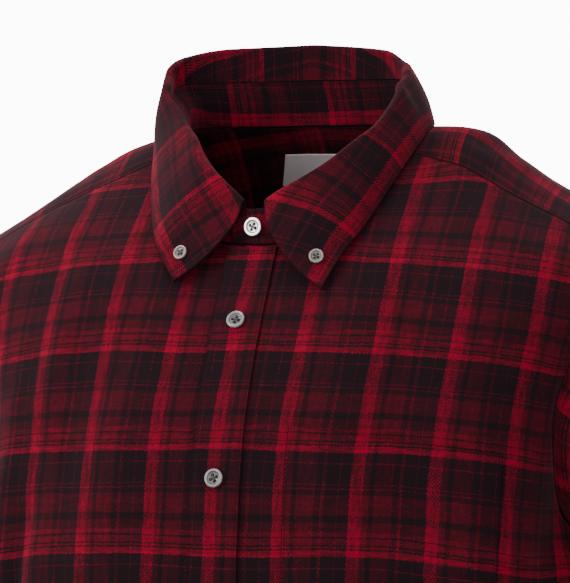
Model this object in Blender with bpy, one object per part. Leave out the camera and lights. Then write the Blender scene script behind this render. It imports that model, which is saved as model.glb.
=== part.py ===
"""A long-sleeved flannel shirt, held up and filled out as if worn, with nobody inside.

Every panel is a thin wall round a grid of points, in millimetres until the mesh is made. The torso
grids lie on one surface of level sections, the sleeves run from the armholes to the cuffs, and the collar
stands on the neckline. +X is the wearer's left, -Y the front and +Z up; the origin is midway between the
side neck points.
"""

import math

import bmesh
import bpy
import numpy as np
from mathutils import Matrix, Vector

MM = 0.001

# Cloth
CLOTH = 1.2  # wall of every single layer
BAND = 2.0  # wall of the faced pieces: collar, stand and cuffs
SEAM = 0.3  # space left between neighbouring pieces
UNDERLAP_STEP = CLOTH + SEAM  # how far the right front lies inside the left one
BAND_STEP = BAND + 2 * SEAM  # the same for the ends of a band

# Torso: one row for each level, highest first
# z, half_width, front, back, middle, roundness
BODY = (
    (8, 46, 2, 34, 18.0, 1.90),
    (0, 67, -4, 38.5, 18.0, 1.90),
    (-5.5, 94, -10.5, 44, 17.0, 1.90),
    (-16, 122, -24.7, 53, 17.0, 1.90),
    (-28, 143, -37.2, 60, 18.0, 1.92),
    (-53, 185, -60, 72, 20.0, 1.95),
    (-73, 218, -78, 79, 22.0, 1.98),
    (-83, 231, -84.5, 82, 22.0, 2.00),
    (-95, 231, -92, 86, 20.0, 2.06),
    (-128, 217, -111, 95, 12.0, 2.20),
    (-183, 194, -136, 104, 5.0, 2.30),
    (-225, 192, -145, 107, 2.0, 2.35),
    (-265, 202, -149, 107, 0.0, 2.35),
    (-310, 205, -147, 104, -1.0, 2.35),
    (-400, 206, -139, 98, -3.0, 2.32),
    (-520, 206, -130, 97, -4.0, 2.30),
    (-705, 209, -124, 101, -4.0, 2.28),
)
FRONT_NECK_SLOPE, BACK_NECK_SLOPE = 0.936, 0.01  # fall of the neckline for each millimetre forward
NECK_BEND = 9  # how softly one slope turns into the other
NECK_LEVELS, CORNER_ANGLES, PLACKET_ANGLES = (-90, 7), (10, 80), (0, 20)  # where its points are looked for
HALVINGS = 40
FRONT_HEM, BACK_HEM, SIDE_HEM = -695, -702, -640
SECTION_STEPS = 60
CURVE_STEPS = 240

# Armhole, an upright oval laid on the torso surface
ARMHOLE_POINTS = 28
ARMHOLE_MIDDLE_Z, ARMHOLE_HALF_HEIGHT = -173.5, 91.5
ARMHOLE_FORWARD, ARMHOLE_BACKWARD = 66, 70
FRONT_YOKE_INDEX, BACK_YOKE_INDEX, UNDERARM_INDEX = 2, -3, ARMHOLE_POINTS // 2

# Panels
PLACKET_HALF = 15.5
PLACKET_COLUMNS, NECK_COLUMNS, SEAM_COLUMNS = 2, 6, 8
POCKET_EDGES, POCKET_STEPS = (42, 167), 9  # from the front centre along the cloth
BACK_HALF_COLUMNS = 7
SIDE_ROWS = 9
YOKE_EASE_COLUMNS = 4  # columns over which the yoke's rows turn from its front seam's shape
SAME_PLACE = 0.05  # edge points this close share one normal
YOKE_SEAM = ((60, -12), (69, -15), (103, -28.6), (165, -55.4), (226, -89))  # x, z of the front yoke seam
BACK_YOKE_Z = -96
NECK_PULL_ROWS = 6  # rows over which a panel's top edge fades out
UNDERLAP_FADE = (18, 50)  # distances from the centre between which the right front steps in

# Folds of the torso: the line's two ends seen from front or back, and its section
# side, x0, z0, x1, z1, width, height
FOLDS = (
    (-1, -150, -100, -128, -300, 13, 5.0),
    (-1, -118, -300, -150, -520, 17, 4.0),
    (-1, 152, -130, 140, -330, 13, 4.5),
    (-1, 130, -330, 160, -560, 18, 4.0),
    (-1, 70, -360, 92, -650, 20, 3.0),
    (-1, -66, -380, -80, -660, 20, 3.0),
    (1, -150, -140, -120, -400, 16, 5.0),
    (1, 146, -150, 118, -380, 16, 4.5),
    (1, 50, -360, 66, -660, 22, 4.0),
    (1, -56, -330, -70, -640, 22, 4.5),
)
FOLD_START, FOLD_FADE = -90, 40  # the folds come in below this level, over this height
FOLD_SIDE_FADE = 3.0  # and die away towards the side seam over a third of the turn

# Soft bulge of the left shoulder: its middle, widths and height, and where it starts beside the collar
BULGE_X, BULGE_Y, BULGE_WIDTH_X, BULGE_WIDTH_Y, BULGE_HEIGHT = 110, 4, 24, 34, 8.5
BULGE_START, BULGE_FADE = 76, 24

# Sleeve: one row for each station from the armhole to the cuff
# along, out_x, out_z, in_x, in_z, middle_y, half_depth, saddle
SLEEVE = (
    (0.00, 229, -82, 202, -265, 2, 67, 42),
    (0.07, 264, -112, 208, -272, 1, 71, 20),
    (0.14, 286, -150, 212, -285, -1, 73, 8),
    (0.23, 298, -205, 215, -306, -3, 73, 2),
    (0.34, 305, -275, 219, -339, -6, 71, 0),
    (0.48, 310, -360, 225, -395, -10, 67, 0),
    (0.62, 314, -443, 231, -462, -14, 62, 0),
    (0.80, 317, -535, 238, -543, -19, 55, 0),
    (0.93, 318, -600, 243, -603, -22, 49, 0),
    (1.00, 316, -628, 247, -628, -23, 41, 0),
)
SLEEVE_ROWS, SLEEVE_SPACING = 15, 1.15  # rows closer together near the armhole
UNDERARM_STEP = CLOTH + 1.5 * SEAM  # in the crease where both walls hang down
UNDERARM_FROM, UNDERARM_FADE = 0.43, 0.2
ARMHOLE_FADE = 0.22  # part of the sleeve over which the armhole's own shape fades out
# turn0, along0, turn1, along1, width, height
SLEEVE_FOLDS = (
    (60, 0.10, 110, 0.36, 0.055, 4.0),
    (-70, 0.08, -120, 0.34, 0.055, 4.0),
    (150, 0.50, 60, 0.60, 0.030, 4.5),
    (170, 0.62, 80, 0.70, 0.030, 4.0),
    (-30, 0.68, 40, 0.88, 0.050, 3.0),
    (-150, 0.72, -90, 0.92, 0.045, 3.5),
)
FOLD_TURN = 400.0  # degrees of turn that count as one sleeve length

# Cuff
CUFF_HEIGHT, CUFF_ROWS, CUFF_POINTS = 62, 2, 24
CUFF_TAPER = 2.0
CUFF_GAP = 0.4
CUFF_START, CUFF_OVERLAP = 268, 40  # degrees of turn
CUFF_STEP_FROM, CUFF_STEP_TURN = 90, 60  # the inner end steps in over this turn

# Collar stand and leaf
STAND_ROWS = 2
STAND_LIFT = 1.1  # its lower edge above the neckline
# part, height, lean
STAND = ((0.0, 21, 1.0), (0.25, 24.5, 3.0), (0.57, 27, 6.0), (1.0, 28, 4.5))
# How far the stand's top edge sways to the left, by the part of the whole neckline
STAND_SWAY = (
    (0.00, 0),
    (0.27, 2),
    (0.32, -2),
    (0.36, -3),
    (0.40, 1),
    (0.44, 0),
    (0.50, -3),
    (0.56, -8),
    (0.60, -11),
    (0.64, -13),
    (0.68, -17),
    (0.72, -16),
    (0.78, -2),
    (0.85, 5),
    (0.93, 4),
    (0.985, 0),
    (1.00, 0),
)
STAND_INSET = 0.4
STAND_OVERLAP, STAND_CORNER, STAND_CORNER_DROP = 14, 9, 0.3
STAND_STEP_RUN = 30
LEAF_OPENING = 7.5  # from the centre to the leaf's front edge
LEAF_ROLL, LEAF_GAP = 2.0, 1.2
LEAF_ROLL_TURNS = (0, 0.9, 1.7, 2.5)  # radians round the roll
LEAF_FALL_STEPS = 5
LEAF_BOW = 2.0
LEAF_FRONT_BOW, LEAF_FRONT_REACH = 11, 0.14  # its front edge curves in towards the centre
LEAF_FRONT_ROUND = 0.7
# part, rise, edge_x, edge_y, edge_z
LEAF_LEFT = (
    (0.03, 3.0, 48.5, -96, -99.5),
    (0.12, 12.5, 56.5, -84, -79),
    (0.25, 13.0, 65, -67, -62),
    (0.38, 9.5, 73, -44.5, -39),
    (0.50, 7.5, 80, -18, -16),
    (0.59, 6.5, 83, 4, -3),
    (0.70, 9.5, 78, 23, 1),
    (0.80, 16.5, 60, 38, 0),
    (0.90, 19, 32, 48, -6),
    (1.00, 20.5, 0, 51.5, -9),
)
LEAF_RIGHT = (
    (0.03, 3.5, -43.5, -96, -94.5),
    (0.12, 15.0, -57, -84, -78),
    (0.25, 16.5, -68, -67, -62),
    (0.38, 12.0, -78, -44.5, -39.5),
    (0.50, 8.5, -87, -18, -17),
    (0.59, 9.5, -91, 4, -4),
    (0.70, 16.0, -85, 23, 0),
    (0.80, 19.5, -65, 38, 0),
    (0.90, 20, -35, 48, -6),
    (1.00, 20.5, 0, 51.5, -9),
)

# Placket, pocket and label, in columns and rows of the panel below them
PLACKET_TOP_ROW = 0.12
POCKET_COLUMNS, POCKET_ROWS = (3, 3 + POCKET_STEPS), (6.45, 13.4)
LABEL_COLUMNS, LABEL_ROWS = (10.35, 13.65), (1.3, 2.9)

# Buttons
BUTTON_RADIUS, COLLAR_BUTTON_RADIUS, BUTTON_HEIGHT = 5.65, 4.5, 2.2
BUTTON_SIDES, HOLE_SIDES = 16, 5
BUTTON_PROFILE = ((0.0, 0.62), (0.68, 0.62), (0.84, 1.0), (1.0, 0.7), (0.94, 0.0), (0.0, 0.0))
HOLE_RADIUS, HOLE_SPREAD = 0.13, 0.21  # parts of the button's radius
BUTTON_DROPS = (45, 135, 225, 315, 405, 495)  # below the front neckline
COLLAR_BUTTON_CUT = 0.18  # part of the leaf's fall from its edge
COLLAR_BUTTON_IN = 1.15  # columns in from the leaf's front edge
CUFF_BUTTON_COLUMN = 0.9

COLOURS = {
    "cloth": (0.16, 0.02, 0.03, 1.0),
    "label": (0.45, 0.42, 0.42, 1.0),
    "button": (0.35, 0.34, 0.33, 1.0),
}


def clear_scene():
    for item in list(bpy.data.objects):
        bpy.data.objects.remove(item, do_unlink=True)


def along(rows, key):
    """The row of a table at a key, eased between its rows without overshooting."""
    table = np.array(rows, float)
    if table[0, 0] > table[-1, 0]:
        table = table[::-1]
    keys, values = table[:, 0], table[:, 1:]
    key = min(max(key, keys[0]), keys[-1])
    slopes = np.diff(values, axis=0) / np.diff(keys)[:, None]
    before, after = slopes[:-1], slopes[1:]
    same = before * after > 0
    mean = np.where(same, 2 * before * after / np.where(same, before + after, 1), 0)
    tangents = np.vstack([slopes[:1], mean, slopes[-1:]])
    i = min(int(np.searchsorted(keys, key, side="right")) - 1, len(keys) - 2)
    span = keys[i + 1] - keys[i]
    t = (key - keys[i]) / span
    return (
        (2 * t**3 - 3 * t**2 + 1) * values[i]
        + (t**3 - 2 * t**2 + t) * span * tangents[i]
        + (3 * t**2 - 2 * t**3) * values[i + 1]
        + (t**3 - t**2) * span * tangents[i + 1]
    )


def unit(vectors):
    return vectors / np.maximum(np.linalg.norm(vectors, axis=-1, keepdims=True), 1e-12)


def ease(value):
    t = np.clip(value, 0.0, 1.0)
    return t * t * (3 - 2 * t)


def ridge(x, z, x0, z0, x1, z1, width):
    """Height, from 0 to 1, of a soft ridge along a line that dies away at both ends."""
    run = np.array([x1 - x0, z1 - z0], float)
    length = np.linalg.norm(run)
    part = ((x - x0) * run[0] + (z - z0) * run[1]) / length**2
    off = ((x - x0) * run[1] - (z - z0) * run[0]) / length
    ends = math.sin(math.pi * part) if 0 < part < 1 else 0.0
    return ends * math.exp(-((off / width) ** 2))


def body(angle, z):
    """A point of the torso surface. The angle runs from the front centre by the wearer's left, 90, to 180."""
    half_width, front, back, middle, roundness = along(BODY, z)
    turn = math.radians(angle)
    s, c = math.sin(turn), math.cos(turn)
    x = math.copysign(half_width * abs(s) ** (2 / roundness), s)
    depth = (front if c > 0 else back) - middle
    y = middle + depth * abs(c) ** (2 / roundness)
    side = -1 if c > 0 else 1
    swell = sum(h * ridge(x, z, *line, w) for where, *line, w, h in FOLDS if where == side)
    out = unit(np.array([x / half_width**2, (y - middle) / depth**2]))
    fade = ease((FOLD_START - z) / FOLD_FADE) * min(1.0, abs(c) * FOLD_SIDE_FADE)
    return np.array([x + out[0] * swell * fade, y + out[1] * swell * fade, z])


def section_lengths(z, side):
    """Angles from the centre to the side, and how far along the level section each is."""
    centre = 0 if side < 0 else 180
    angles = np.linspace(centre, 90, SECTION_STEPS)
    points = np.array([body(a, z) for a in angles])
    steps = np.linalg.norm(np.diff(points, axis=0), axis=1)
    return angles, np.concatenate([[0], np.cumsum(steps)])


def length_at(angle, z, side):
    angles, lengths = section_lengths(z, side)
    return np.interp(angle * -side, angles * -side, lengths)


def point_at(length, z, side):
    """The surface point this far from the centre along the level section, or, if negative, across it."""
    angles, lengths = section_lengths(z, side)
    point = body(np.interp(abs(length), lengths, angles), z)
    return point if length >= 0 else point * (-1, 1, 1)


def neck_level(y):
    """Level of the neckline where it is this far back."""
    fall = (FRONT_NECK_SLOPE - BACK_NECK_SLOPE) * NECK_BEND
    return BACK_NECK_SLOPE * y - fall * math.log1p(math.exp(-y / NECK_BEND))


def neck_z(angle):
    """Level at which the neckline lies on the torso surface at an angle."""
    low, high = NECK_LEVELS
    for _ in range(HALVINGS):
        z = (low + high) / 2
        low, high = (z, high) if z < neck_level(body(angle, z)[1]) else (low, z)
    return z


def armhole(index):
    """Angle and level of an armhole point. Index 0 is the shoulder point, and the front comes first."""
    turn = 2 * math.pi * index / ARMHOLE_POINTS
    z = ARMHOLE_MIDDLE_Z + ARMHOLE_HALF_HEIGHT * math.cos(turn)
    _, front, back, middle, roundness = along(BODY, z)
    reach = ARMHOLE_FORWARD if math.sin(turn) > 0 else ARMHOLE_BACKWARD
    y = middle - reach * math.sin(turn)
    depth = front - middle if y < middle else back - middle
    cosine = min(1.0, ((y - middle) / depth) ** (roundness / 2)) if y != middle else 0.0
    angle = math.degrees(math.acos(cosine))
    return (angle if y <= middle else 180 - angle), z


def evenly(function, start, end, count):
    """Values between start and end at which the curve's points are equally far apart."""
    values = np.linspace(start, end, CURVE_STEPS)
    points = np.array([function(v) for v in values])
    run = np.concatenate([[0], np.cumsum(np.linalg.norm(np.diff(points, axis=0), axis=1))])
    return np.interp(np.linspace(0, run[-1], count + 1), run, values)


def neck_point(angle):
    return body(angle, neck_z(angle))


def seam_spot(x):
    """Angle and level of the front yoke seam at a distance from the centre."""
    z = along(YOKE_SEAM, x)[0]
    half_width, _, _, _, roundness = along(BODY, z)
    return math.degrees(math.asin(min(1.0, x / half_width) ** (roundness / 2))), z


def neck_corner():
    """Angle at which the neckline meets the front yoke seam."""
    low, high = CORNER_ANGLES
    for _ in range(HALVINGS):
        angle = (low + high) / 2
        point = neck_point(angle)
        low, high = (angle, high) if point[2] < along(YOKE_SEAM, point[0])[0] else (low, angle)
    return angle


def placket_angle():
    """Angle at which the neckline meets the placket's fold line."""
    angles = np.linspace(*PLACKET_ANGLES, CURVE_STEPS)
    return float(np.interp(PLACKET_HALF, [neck_point(a)[0] for a in angles], angles))


def front_top(corner):
    """The front's top edge as (angle, level): the neckline from the placket's edge, then the yoke seam."""
    near = placket_angle()
    spots = [(-near, neck_z(near)), (0.0, neck_z(0)), (near, neck_z(near))]
    spots += [(a, neck_z(a)) for a in evenly(neck_point, near, corner, NECK_COLUMNS)[1:]]
    start = neck_point(corner)[0]
    end_angle, end_z = armhole(FRONT_YOKE_INDEX)
    end = body(end_angle, end_z)[0]
    seam = evenly(lambda x: body(*seam_spot(x)), start, end, SEAM_COLUMNS)
    spots += [seam_spot(x) for x in seam[1:-1]]
    return spots + [(end_angle, end_z)]


def outer_edge(first, last, side):
    """A panel's outer edge as (length, level): the armhole, then the side seam down to the hem."""
    step = 1 if last > first else -1
    hole = [armhole(i) for i in range(first, last + step, step)]
    edge = [(length_at(a, z, side), z) for a, z in hole]
    for z in np.linspace(edge[-1][1], SIDE_HEM, SIDE_ROWS + 1)[1:]:
        edge.append((section_lengths(z, side)[1][-1], z))
    return edge


def column_lengths(reach, side):
    """Where a panel's columns lie on a level section that is this long from its centre to its edge."""
    if side > 0:
        return np.linspace(0, reach, BACK_HALF_COLUMNS + 1)
    near, far = POCKET_EDGES
    count = PLACKET_COLUMNS + NECK_COLUMNS + SEAM_COLUMNS
    rest = count - PLACKET_COLUMNS - 1 - POCKET_STEPS
    placket = [-PLACKET_HALF, 0, PLACKET_HALF]
    pocket = np.linspace(near, far, POCKET_STEPS + 1)
    return np.concatenate([placket, pocket, np.linspace(far, reach, rest + 1)[1:]])


def panel(top, outer, side, hem):
    """Grid between a top edge of (length, level) and an outer edge, hanging straight at the centre."""
    rows, straight = len(outer), len(outer) - SIDE_ROWS
    first_free = PLACKET_COLUMNS if side < 0 else 0
    weights = np.clip((np.arange(len(top)) - first_free) / (len(top) - 1 - first_free), 0, None)
    centre = list(np.linspace(top[0][1], outer[straight - 1][1], straight))
    centre += list(np.linspace(centre[-1], hem, SIDE_ROWS + 1)[1:])
    start = column_lengths(top[-1][0], side)
    grid = np.zeros((rows, len(top), 3))
    for j, (reach, edge_z) in enumerate(outer):
        pull = max(0.0, 1 - j / NECK_PULL_ROWS) ** 2
        drop = max(0.0, (j - straight + 1) / SIDE_ROWS) ** 2
        lengths = column_lengths(reach, side)
        stray = 1 - ease(j / NECK_PULL_ROWS)
        for k, (top_length, z) in enumerate(top):
            w = weights[k]
            length = lengths[k] + stray * (top_length - start[k])
            level = centre[j] + w * (edge_z - centre[j])
            first = centre[0] + w * (outer[0][1] - centre[0])
            curve = (hem - SIDE_HEM) * (w - ease(w))
            grid[j, k] = point_at(length, level + pull * (z - first) + drop * curve, side)
    return grid


def mirrored(grid):
    return grid[:, ::-1] * (-1, 1, 1)


def underlapped(grid):
    """The right front: its inner part stepped in under the left front."""
    stepped = grid.copy()
    normals = normals_of(grid, False)
    near, far = UNDERLAP_FADE
    for spot in np.ndindex(grid.shape[:2]):
        inside = ease((far + grid[spot][0]) / (far - near))
        stepped[spot] -= normals[spot] * UNDERLAP_STEP * inside
    return stepped


def yoke_grid(corner, seam, back_seam):
    """Rows from the neckline outwards; columns from the left front seam round the back to the right one."""
    side_steps = FRONT_YOKE_INDEX - BACK_YOKE_INDEX
    inner = [(a, neck_z(a)) for a in evenly(neck_point, corner, 180, len(back_seam) - 1 + side_steps)]
    outer = [armhole(i) for i in range(FRONT_YOKE_INDEX, BACK_YOKE_INDEX, -1)] + back_seam
    count = len(seam) - 1
    grid = np.zeros((count + 1, len(inner), 3))
    for q in range(len(inner)):
        near = np.array(inner[q])
        far = np.array(outer[q])
        pull = max(0.0, 1 - q / YOKE_EASE_COLUMNS) ** 2
        for r in range(count + 1):
            part = r / count
            straight = np.array(inner[0]) * (1 - part) + np.array(outer[0]) * part
            spot = near * (1 - part) + far * part + pull * (np.array(seam[r]) - straight)
            grid[r, q] = body(*spot)
    return np.concatenate([grid, mirrored(grid)[:, 1:]], axis=1)


def bulged(grid):
    """The grid with the left shoulder raised into its bulge."""
    x, y = grid[..., 0], grid[..., 1]
    off = ((x - BULGE_X) / BULGE_WIDTH_X) ** 2 + ((y - BULGE_Y) / BULGE_WIDTH_Y) ** 2
    height = BULGE_HEIGHT * np.exp(-off)
    raised = grid.copy()
    raised[..., 2] += height * ease((x - BULGE_START) / BULGE_FADE)
    return raised


def sleeve_ring(part, turn):
    """A point of the sleeve. The turn runs from the outside, 0, by the front, 90."""
    out_x, out_z, in_x, in_z, middle_y, half_depth, saddle = along(SLEEVE, part)
    middle = np.array([(out_x + in_x) / 2, middle_y, (out_z + in_z) / 2])
    across = np.array([(out_x - in_x) / 2, 0, (out_z - in_z) / 2])
    c, s = math.cos(turn), math.sin(turn)
    out = unit(across * c + np.array([0, -half_depth * s, 0]))
    degrees = (math.degrees(turn) + 180) % 360 - 180
    swell = sum(
        h * ridge(degrees / FOLD_TURN, part, t0 / FOLD_TURN, p0, t1 / FOLD_TURN, p1, w)
        for t0, p0, t1, p1, w, h in SLEEVE_FOLDS
    )
    return middle + across * c + np.array([-saddle * s * s, -half_depth * s, 0]) + out * swell


def sleeve_grid():
    hole = np.array([body(*armhole(i)) for i in range(ARMHOLE_POINTS)])
    turns = 2 * np.pi * np.arange(ARMHOLE_POINTS) / ARMHOLE_POINTS
    hole[:, 0] += [UNDERARM_STEP * ease((-math.cos(t) - UNDERARM_FROM) / UNDERARM_FADE) for t in turns]
    start = np.array([sleeve_ring(0, t) for t in turns])
    rows = []
    for part in np.linspace(0, 1, SLEEVE_ROWS + 1) ** SLEEVE_SPACING:
        fade = ease(1 - part / ARMHOLE_FADE)
        rows.append(np.array([sleeve_ring(part, t) for t in turns]) + fade * (hole - start))
    return np.array(rows)[:, ::-1]


def cuff_grid():
    """A band that starts outside itself and ends inside, below the sleeve's last ring."""
    columns = []
    for degrees in np.linspace(CUFF_START, CUFF_START + 360 + CUFF_OVERLAP, CUFF_POINTS + 1)[::-1]:
        turn = math.radians(degrees)
        inside = ease((CUFF_START + CUFF_STEP_FROM - degrees) / CUFF_STEP_TURN) * BAND_STEP
        top = sleeve_ring(1, turn)
        middle = (sleeve_ring(1, 0) + sleeve_ring(1, math.pi)) / 2
        out = unit(top - middle)
        column = []
        for part in np.linspace(0, 1, CUFF_ROWS + 1):
            column.append(top - out * (inside + CUFF_TAPER * part) - (0, 0, CUFF_GAP + CUFF_HEIGHT * part))
        columns.append(column)
    return np.array(columns).transpose(1, 0, 2)


class Neckline:
    """The whole neckline measured from the front centre, by the wearer's left, round to the centre again."""

    def __init__(self):
        half = np.array([neck_point(a) for a in np.linspace(0, 180, CURVE_STEPS)])
        self.points = np.concatenate([half, half[-2::-1] * (-1, 1, 1)])
        steps = np.linalg.norm(np.diff(self.points, axis=0), axis=1)
        self.runs = np.concatenate([[0], np.cumsum(steps)])
        self.length = self.runs[-1]

    def run_at(self, angle):
        return float(np.interp(angle, np.linspace(0, 180, CURVE_STEPS), self.runs[:CURVE_STEPS]))

    def at(self, run):
        return np.array([np.interp(run % self.length, self.runs, self.points[:, i]) for i in range(3)])

    def outward(self, run):
        tangent = self.at(run + 2) - self.at(run - 2)
        return unit(np.array([-tangent[1], tangent[0], 0])) * -1

    def part(self, run):
        return min(abs(run), abs(self.length - run)) / (self.length / 2)

    def step(self, run):
        """How far inside the right front end lies."""
        return ease((run - (self.length - STAND_OVERLAP - STAND_STEP_RUN)) / STAND_STEP_RUN) * BAND_STEP

    def stand(self, run, share):
        """A point of the stand, a share of the way up."""
        height, lean = along(STAND, self.part(run))
        end = min(run + STAND_OVERLAP, self.length + STAND_OVERLAP - run)
        height *= 1 - STAND_CORNER_DROP * max(0.0, 1 - end / STAND_CORNER) ** 2
        back = STAND_INSET + lean * share + self.step(run)
        sway = along(STAND_SWAY, min(max(run / self.length, 0.0), 1.0))[0] * share**2
        return self.at(run) + (sway, 0, STAND_LIFT + height * share) - self.outward(run) * back


def neck_angles(corner):
    """Angles of the places where the panels' points lie on the neckline, from the placket's fold line."""
    near = placket_angle()
    front = evenly(neck_point, near, corner, NECK_COLUMNS)
    back = evenly(neck_point, corner, 180, BACK_HALF_COLUMNS + FRONT_YOKE_INDEX - BACK_YOKE_INDEX)
    return [*front, *back[1:]]


def stand_grid(neck, runs):
    shares = np.linspace(1, 0, STAND_ROWS + 1)
    return np.array([[neck.stand(run, share) for run in runs] for share in shares])


def leaf_column(neck, run):
    """From the leaf's outer edge up its fall, over the roll and down to the stand."""
    rise, *edge = along(LEAF_LEFT if run < neck.length / 2 else LEAF_RIGHT, neck.part(run))
    out = neck.outward(run)
    foot = neck.stand(run, 1) + (0, 0, LEAF_GAP)
    top = foot + (0, 0, rise - LEAF_ROLL)
    roll = [
        top + out * LEAF_ROLL * (1 - math.cos(a)) + (0, 0, LEAF_ROLL * math.sin(a)) for a in LEAF_ROLL_TURNS
    ]
    inwards = np.array([-math.copysign(LEAF_FRONT_BOW, edge[0]), 0, 0])
    inwards *= max(0.0, 1 - neck.part(run) / LEAF_FRONT_REACH)
    fall = []
    for part in np.linspace(0, 1, LEAF_FALL_STEPS + 1)[1:]:
        curve = max(0.0, math.sin(math.pi * part))
        place = roll[-1] * (1 - part) + np.array(edge) * part
        fall.append(place + out * LEAF_BOW * curve + inwards * curve**LEAF_FRONT_ROUND)
    return [*fall[::-1], *roll[::-1], foot]


def leaf_grid(neck, runs):
    return np.array([leaf_column(neck, run) for run in runs]).transpose(1, 0, 2)


def normals_of(grid, wrap):
    down = np.gradient(grid, axis=0)
    if wrap:
        across = np.roll(grid, -1, 1) - np.roll(grid, 1, 1)
    else:
        across = np.gradient(grid, axis=1)
    return unit(np.cross(down, across))


def rim(grid, wrap):
    """Grid indices of the edge points."""
    rows, columns = grid.shape[:2]
    return [
        (j, k)
        for j in range(rows)
        for k in range(columns)
        if j in (0, rows - 1) or (not wrap and k in (0, columns - 1))
    ]


def shared_normals(pieces):
    """Normals of each grid, with one common normal wherever the edges of neighbours meet."""
    normals = {name: normals_of(grid, wrap) for name, (grid, wrap) in pieces.items()}
    edges = [(name, spot) for name, (grid, wrap) in pieces.items() for spot in rim(grid, wrap)]
    points = np.array([pieces[name][0][spot] for name, spot in edges])
    values = np.array([normals[name][spot] for name, spot in edges])
    for i, (name, spot) in enumerate(edges):
        near = np.linalg.norm(points - points[i], axis=1) < SAME_PLACE
        normals[name][spot] = unit(values[near].sum(axis=0))
    return normals


def inward(edge, next_in, normals, wrap):
    """Unit directions from an edge's points into their piece, square to the edge and to its normals."""
    if wrap:
        run = np.roll(edge, -1, 0) - np.roll(edge, 1, 0)
    else:
        run = np.gradient(edge, axis=0)
    way = unit(np.cross(run, normals))
    return way * np.sign((way * (next_in - edge)).sum(axis=1, keepdims=True))


def drawn_back(grid, normals, wrap):
    """Grid with its edges drawn back by half a seam."""
    drawn = grid.copy()
    for edge, next_in in ((0, 1), (-1, -2)):
        drawn[edge] += inward(grid[edge], grid[next_in], normals[edge], wrap) * SEAM / 2
        if not wrap:
            drawn[:, edge] += inward(grid[:, edge], grid[:, next_in], normals[:, edge], False) * SEAM / 2
    return drawn


def patch(grid, normals, columns, rows):
    """Part of a grid between fractional columns and rows, with its normals."""

    def spots(first, last):
        whole = range(math.floor(first) + 1, math.ceil(last))
        return [first, *whole, last]

    def sample(values, j, k):
        j0, k0 = min(int(j), len(values) - 2), min(int(k), values.shape[1] - 2)
        v, u = j - j0, k - k0
        low = values[j0, k0] * (1 - u) + values[j0, k0 + 1] * u
        high = values[j0 + 1, k0] * (1 - u) + values[j0 + 1, k0 + 1] * u
        return low * (1 - v) + high * v

    places = [[(j, k) for k in spots(*columns)] for j in spots(*rows)]
    points = np.array([[sample(grid, *p) for p in row] for row in places])
    ways = np.array([[sample(normals, *p) for p in row] for row in places])
    return points, unit(ways)


def material(kind):
    found = bpy.data.materials.get(kind)
    if found:
        return found
    made = bpy.data.materials.new(kind)
    made.use_nodes = True
    shader = made.node_tree.nodes["Principled BSDF"]
    shader.inputs["Base Color"].default_value = COLOURS[kind]
    shader.inputs["Roughness"].default_value = 0.9 if kind != "button" else 0.35
    return made


def add_object(name, mesh, kind):
    own = material(kind).copy()
    own.name = name
    mesh.materials.append(own)
    item = bpy.data.objects.new(name, mesh)
    bpy.context.scene.collection.objects.link(item)
    return item


def wall(name, grid, normals, thickness, wrap=False, kind="cloth", lift=0.0):
    """One closed body: the grid's outer and inner skins and the strips between their edges."""
    outer = grid + normals * (lift + thickness / 2)
    inner = grid + normals * (lift - thickness / 2)
    rows, columns = grid.shape[:2]
    span = columns if wrap else columns - 1
    built = bmesh.new()
    skins = [
        [[built.verts.new(Vector(point * MM)) for point in row] for row in skin] for skin in (outer, inner)
    ]
    for j in range(rows - 1):
        for k in range(span):
            n = (k + 1) % columns
            for skin in skins:
                built.faces.new((skin[j][k], skin[j + 1][k], skin[j + 1][n], skin[j][n]))
    for j in (0, rows - 1):
        for k in range(span):
            n = (k + 1) % columns
            built.faces.new((skins[0][j][k], skins[0][j][n], skins[1][j][n], skins[1][j][k]))
    if not wrap:
        for k in (0, columns - 1):
            for j in range(rows - 1):
                built.faces.new((skins[0][j][k], skins[0][j + 1][k], skins[1][j + 1][k], skins[1][j][k]))
    bmesh.ops.recalc_face_normals(built, faces=built.faces)
    for face in built.faces:
        face.smooth = True
    mesh = bpy.data.meshes.new(name)
    built.to_mesh(mesh)
    built.free()
    return add_object(name, mesh, kind)


def turned(profile, sides):
    """A closed body turned about Z from (radius, height) points that start and end on the axis."""
    built = bmesh.new()
    rings = []
    for radius, height in profile:
        if radius == 0:
            rings.append([built.verts.new((0, 0, height))] * sides)
            continue
        turns = [2 * math.pi * i / sides for i in range(sides)]
        rings.append([built.verts.new((radius * math.cos(t), radius * math.sin(t), height)) for t in turns])
    for first, second in zip(rings, rings[1:]):
        for i in range(sides):
            n = (i + 1) % sides
            corners = [first[i], first[n], second[n], second[i]]
            built.faces.new(list(dict.fromkeys(corners)))
    bmesh.ops.recalc_face_normals(built, faces=built.faces)
    return built


def hole_cutter(radius, height):
    built = bmesh.new()
    for across, along_y in ((1, 1), (-1, 1), (-1, -1), (1, -1)):
        spot = Matrix.Translation((across * radius * HOLE_SPREAD, along_y * radius * HOLE_SPREAD, height / 2))
        bmesh.ops.create_cone(
            built,
            cap_ends=True,
            segments=HOLE_SIDES,
            radius1=radius * HOLE_RADIUS,
            radius2=radius * HOLE_RADIUS,
            depth=height * 3,
            matrix=spot,
        )
    mesh = bpy.data.meshes.new("holes")
    built.to_mesh(mesh)
    built.free()
    return mesh


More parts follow.
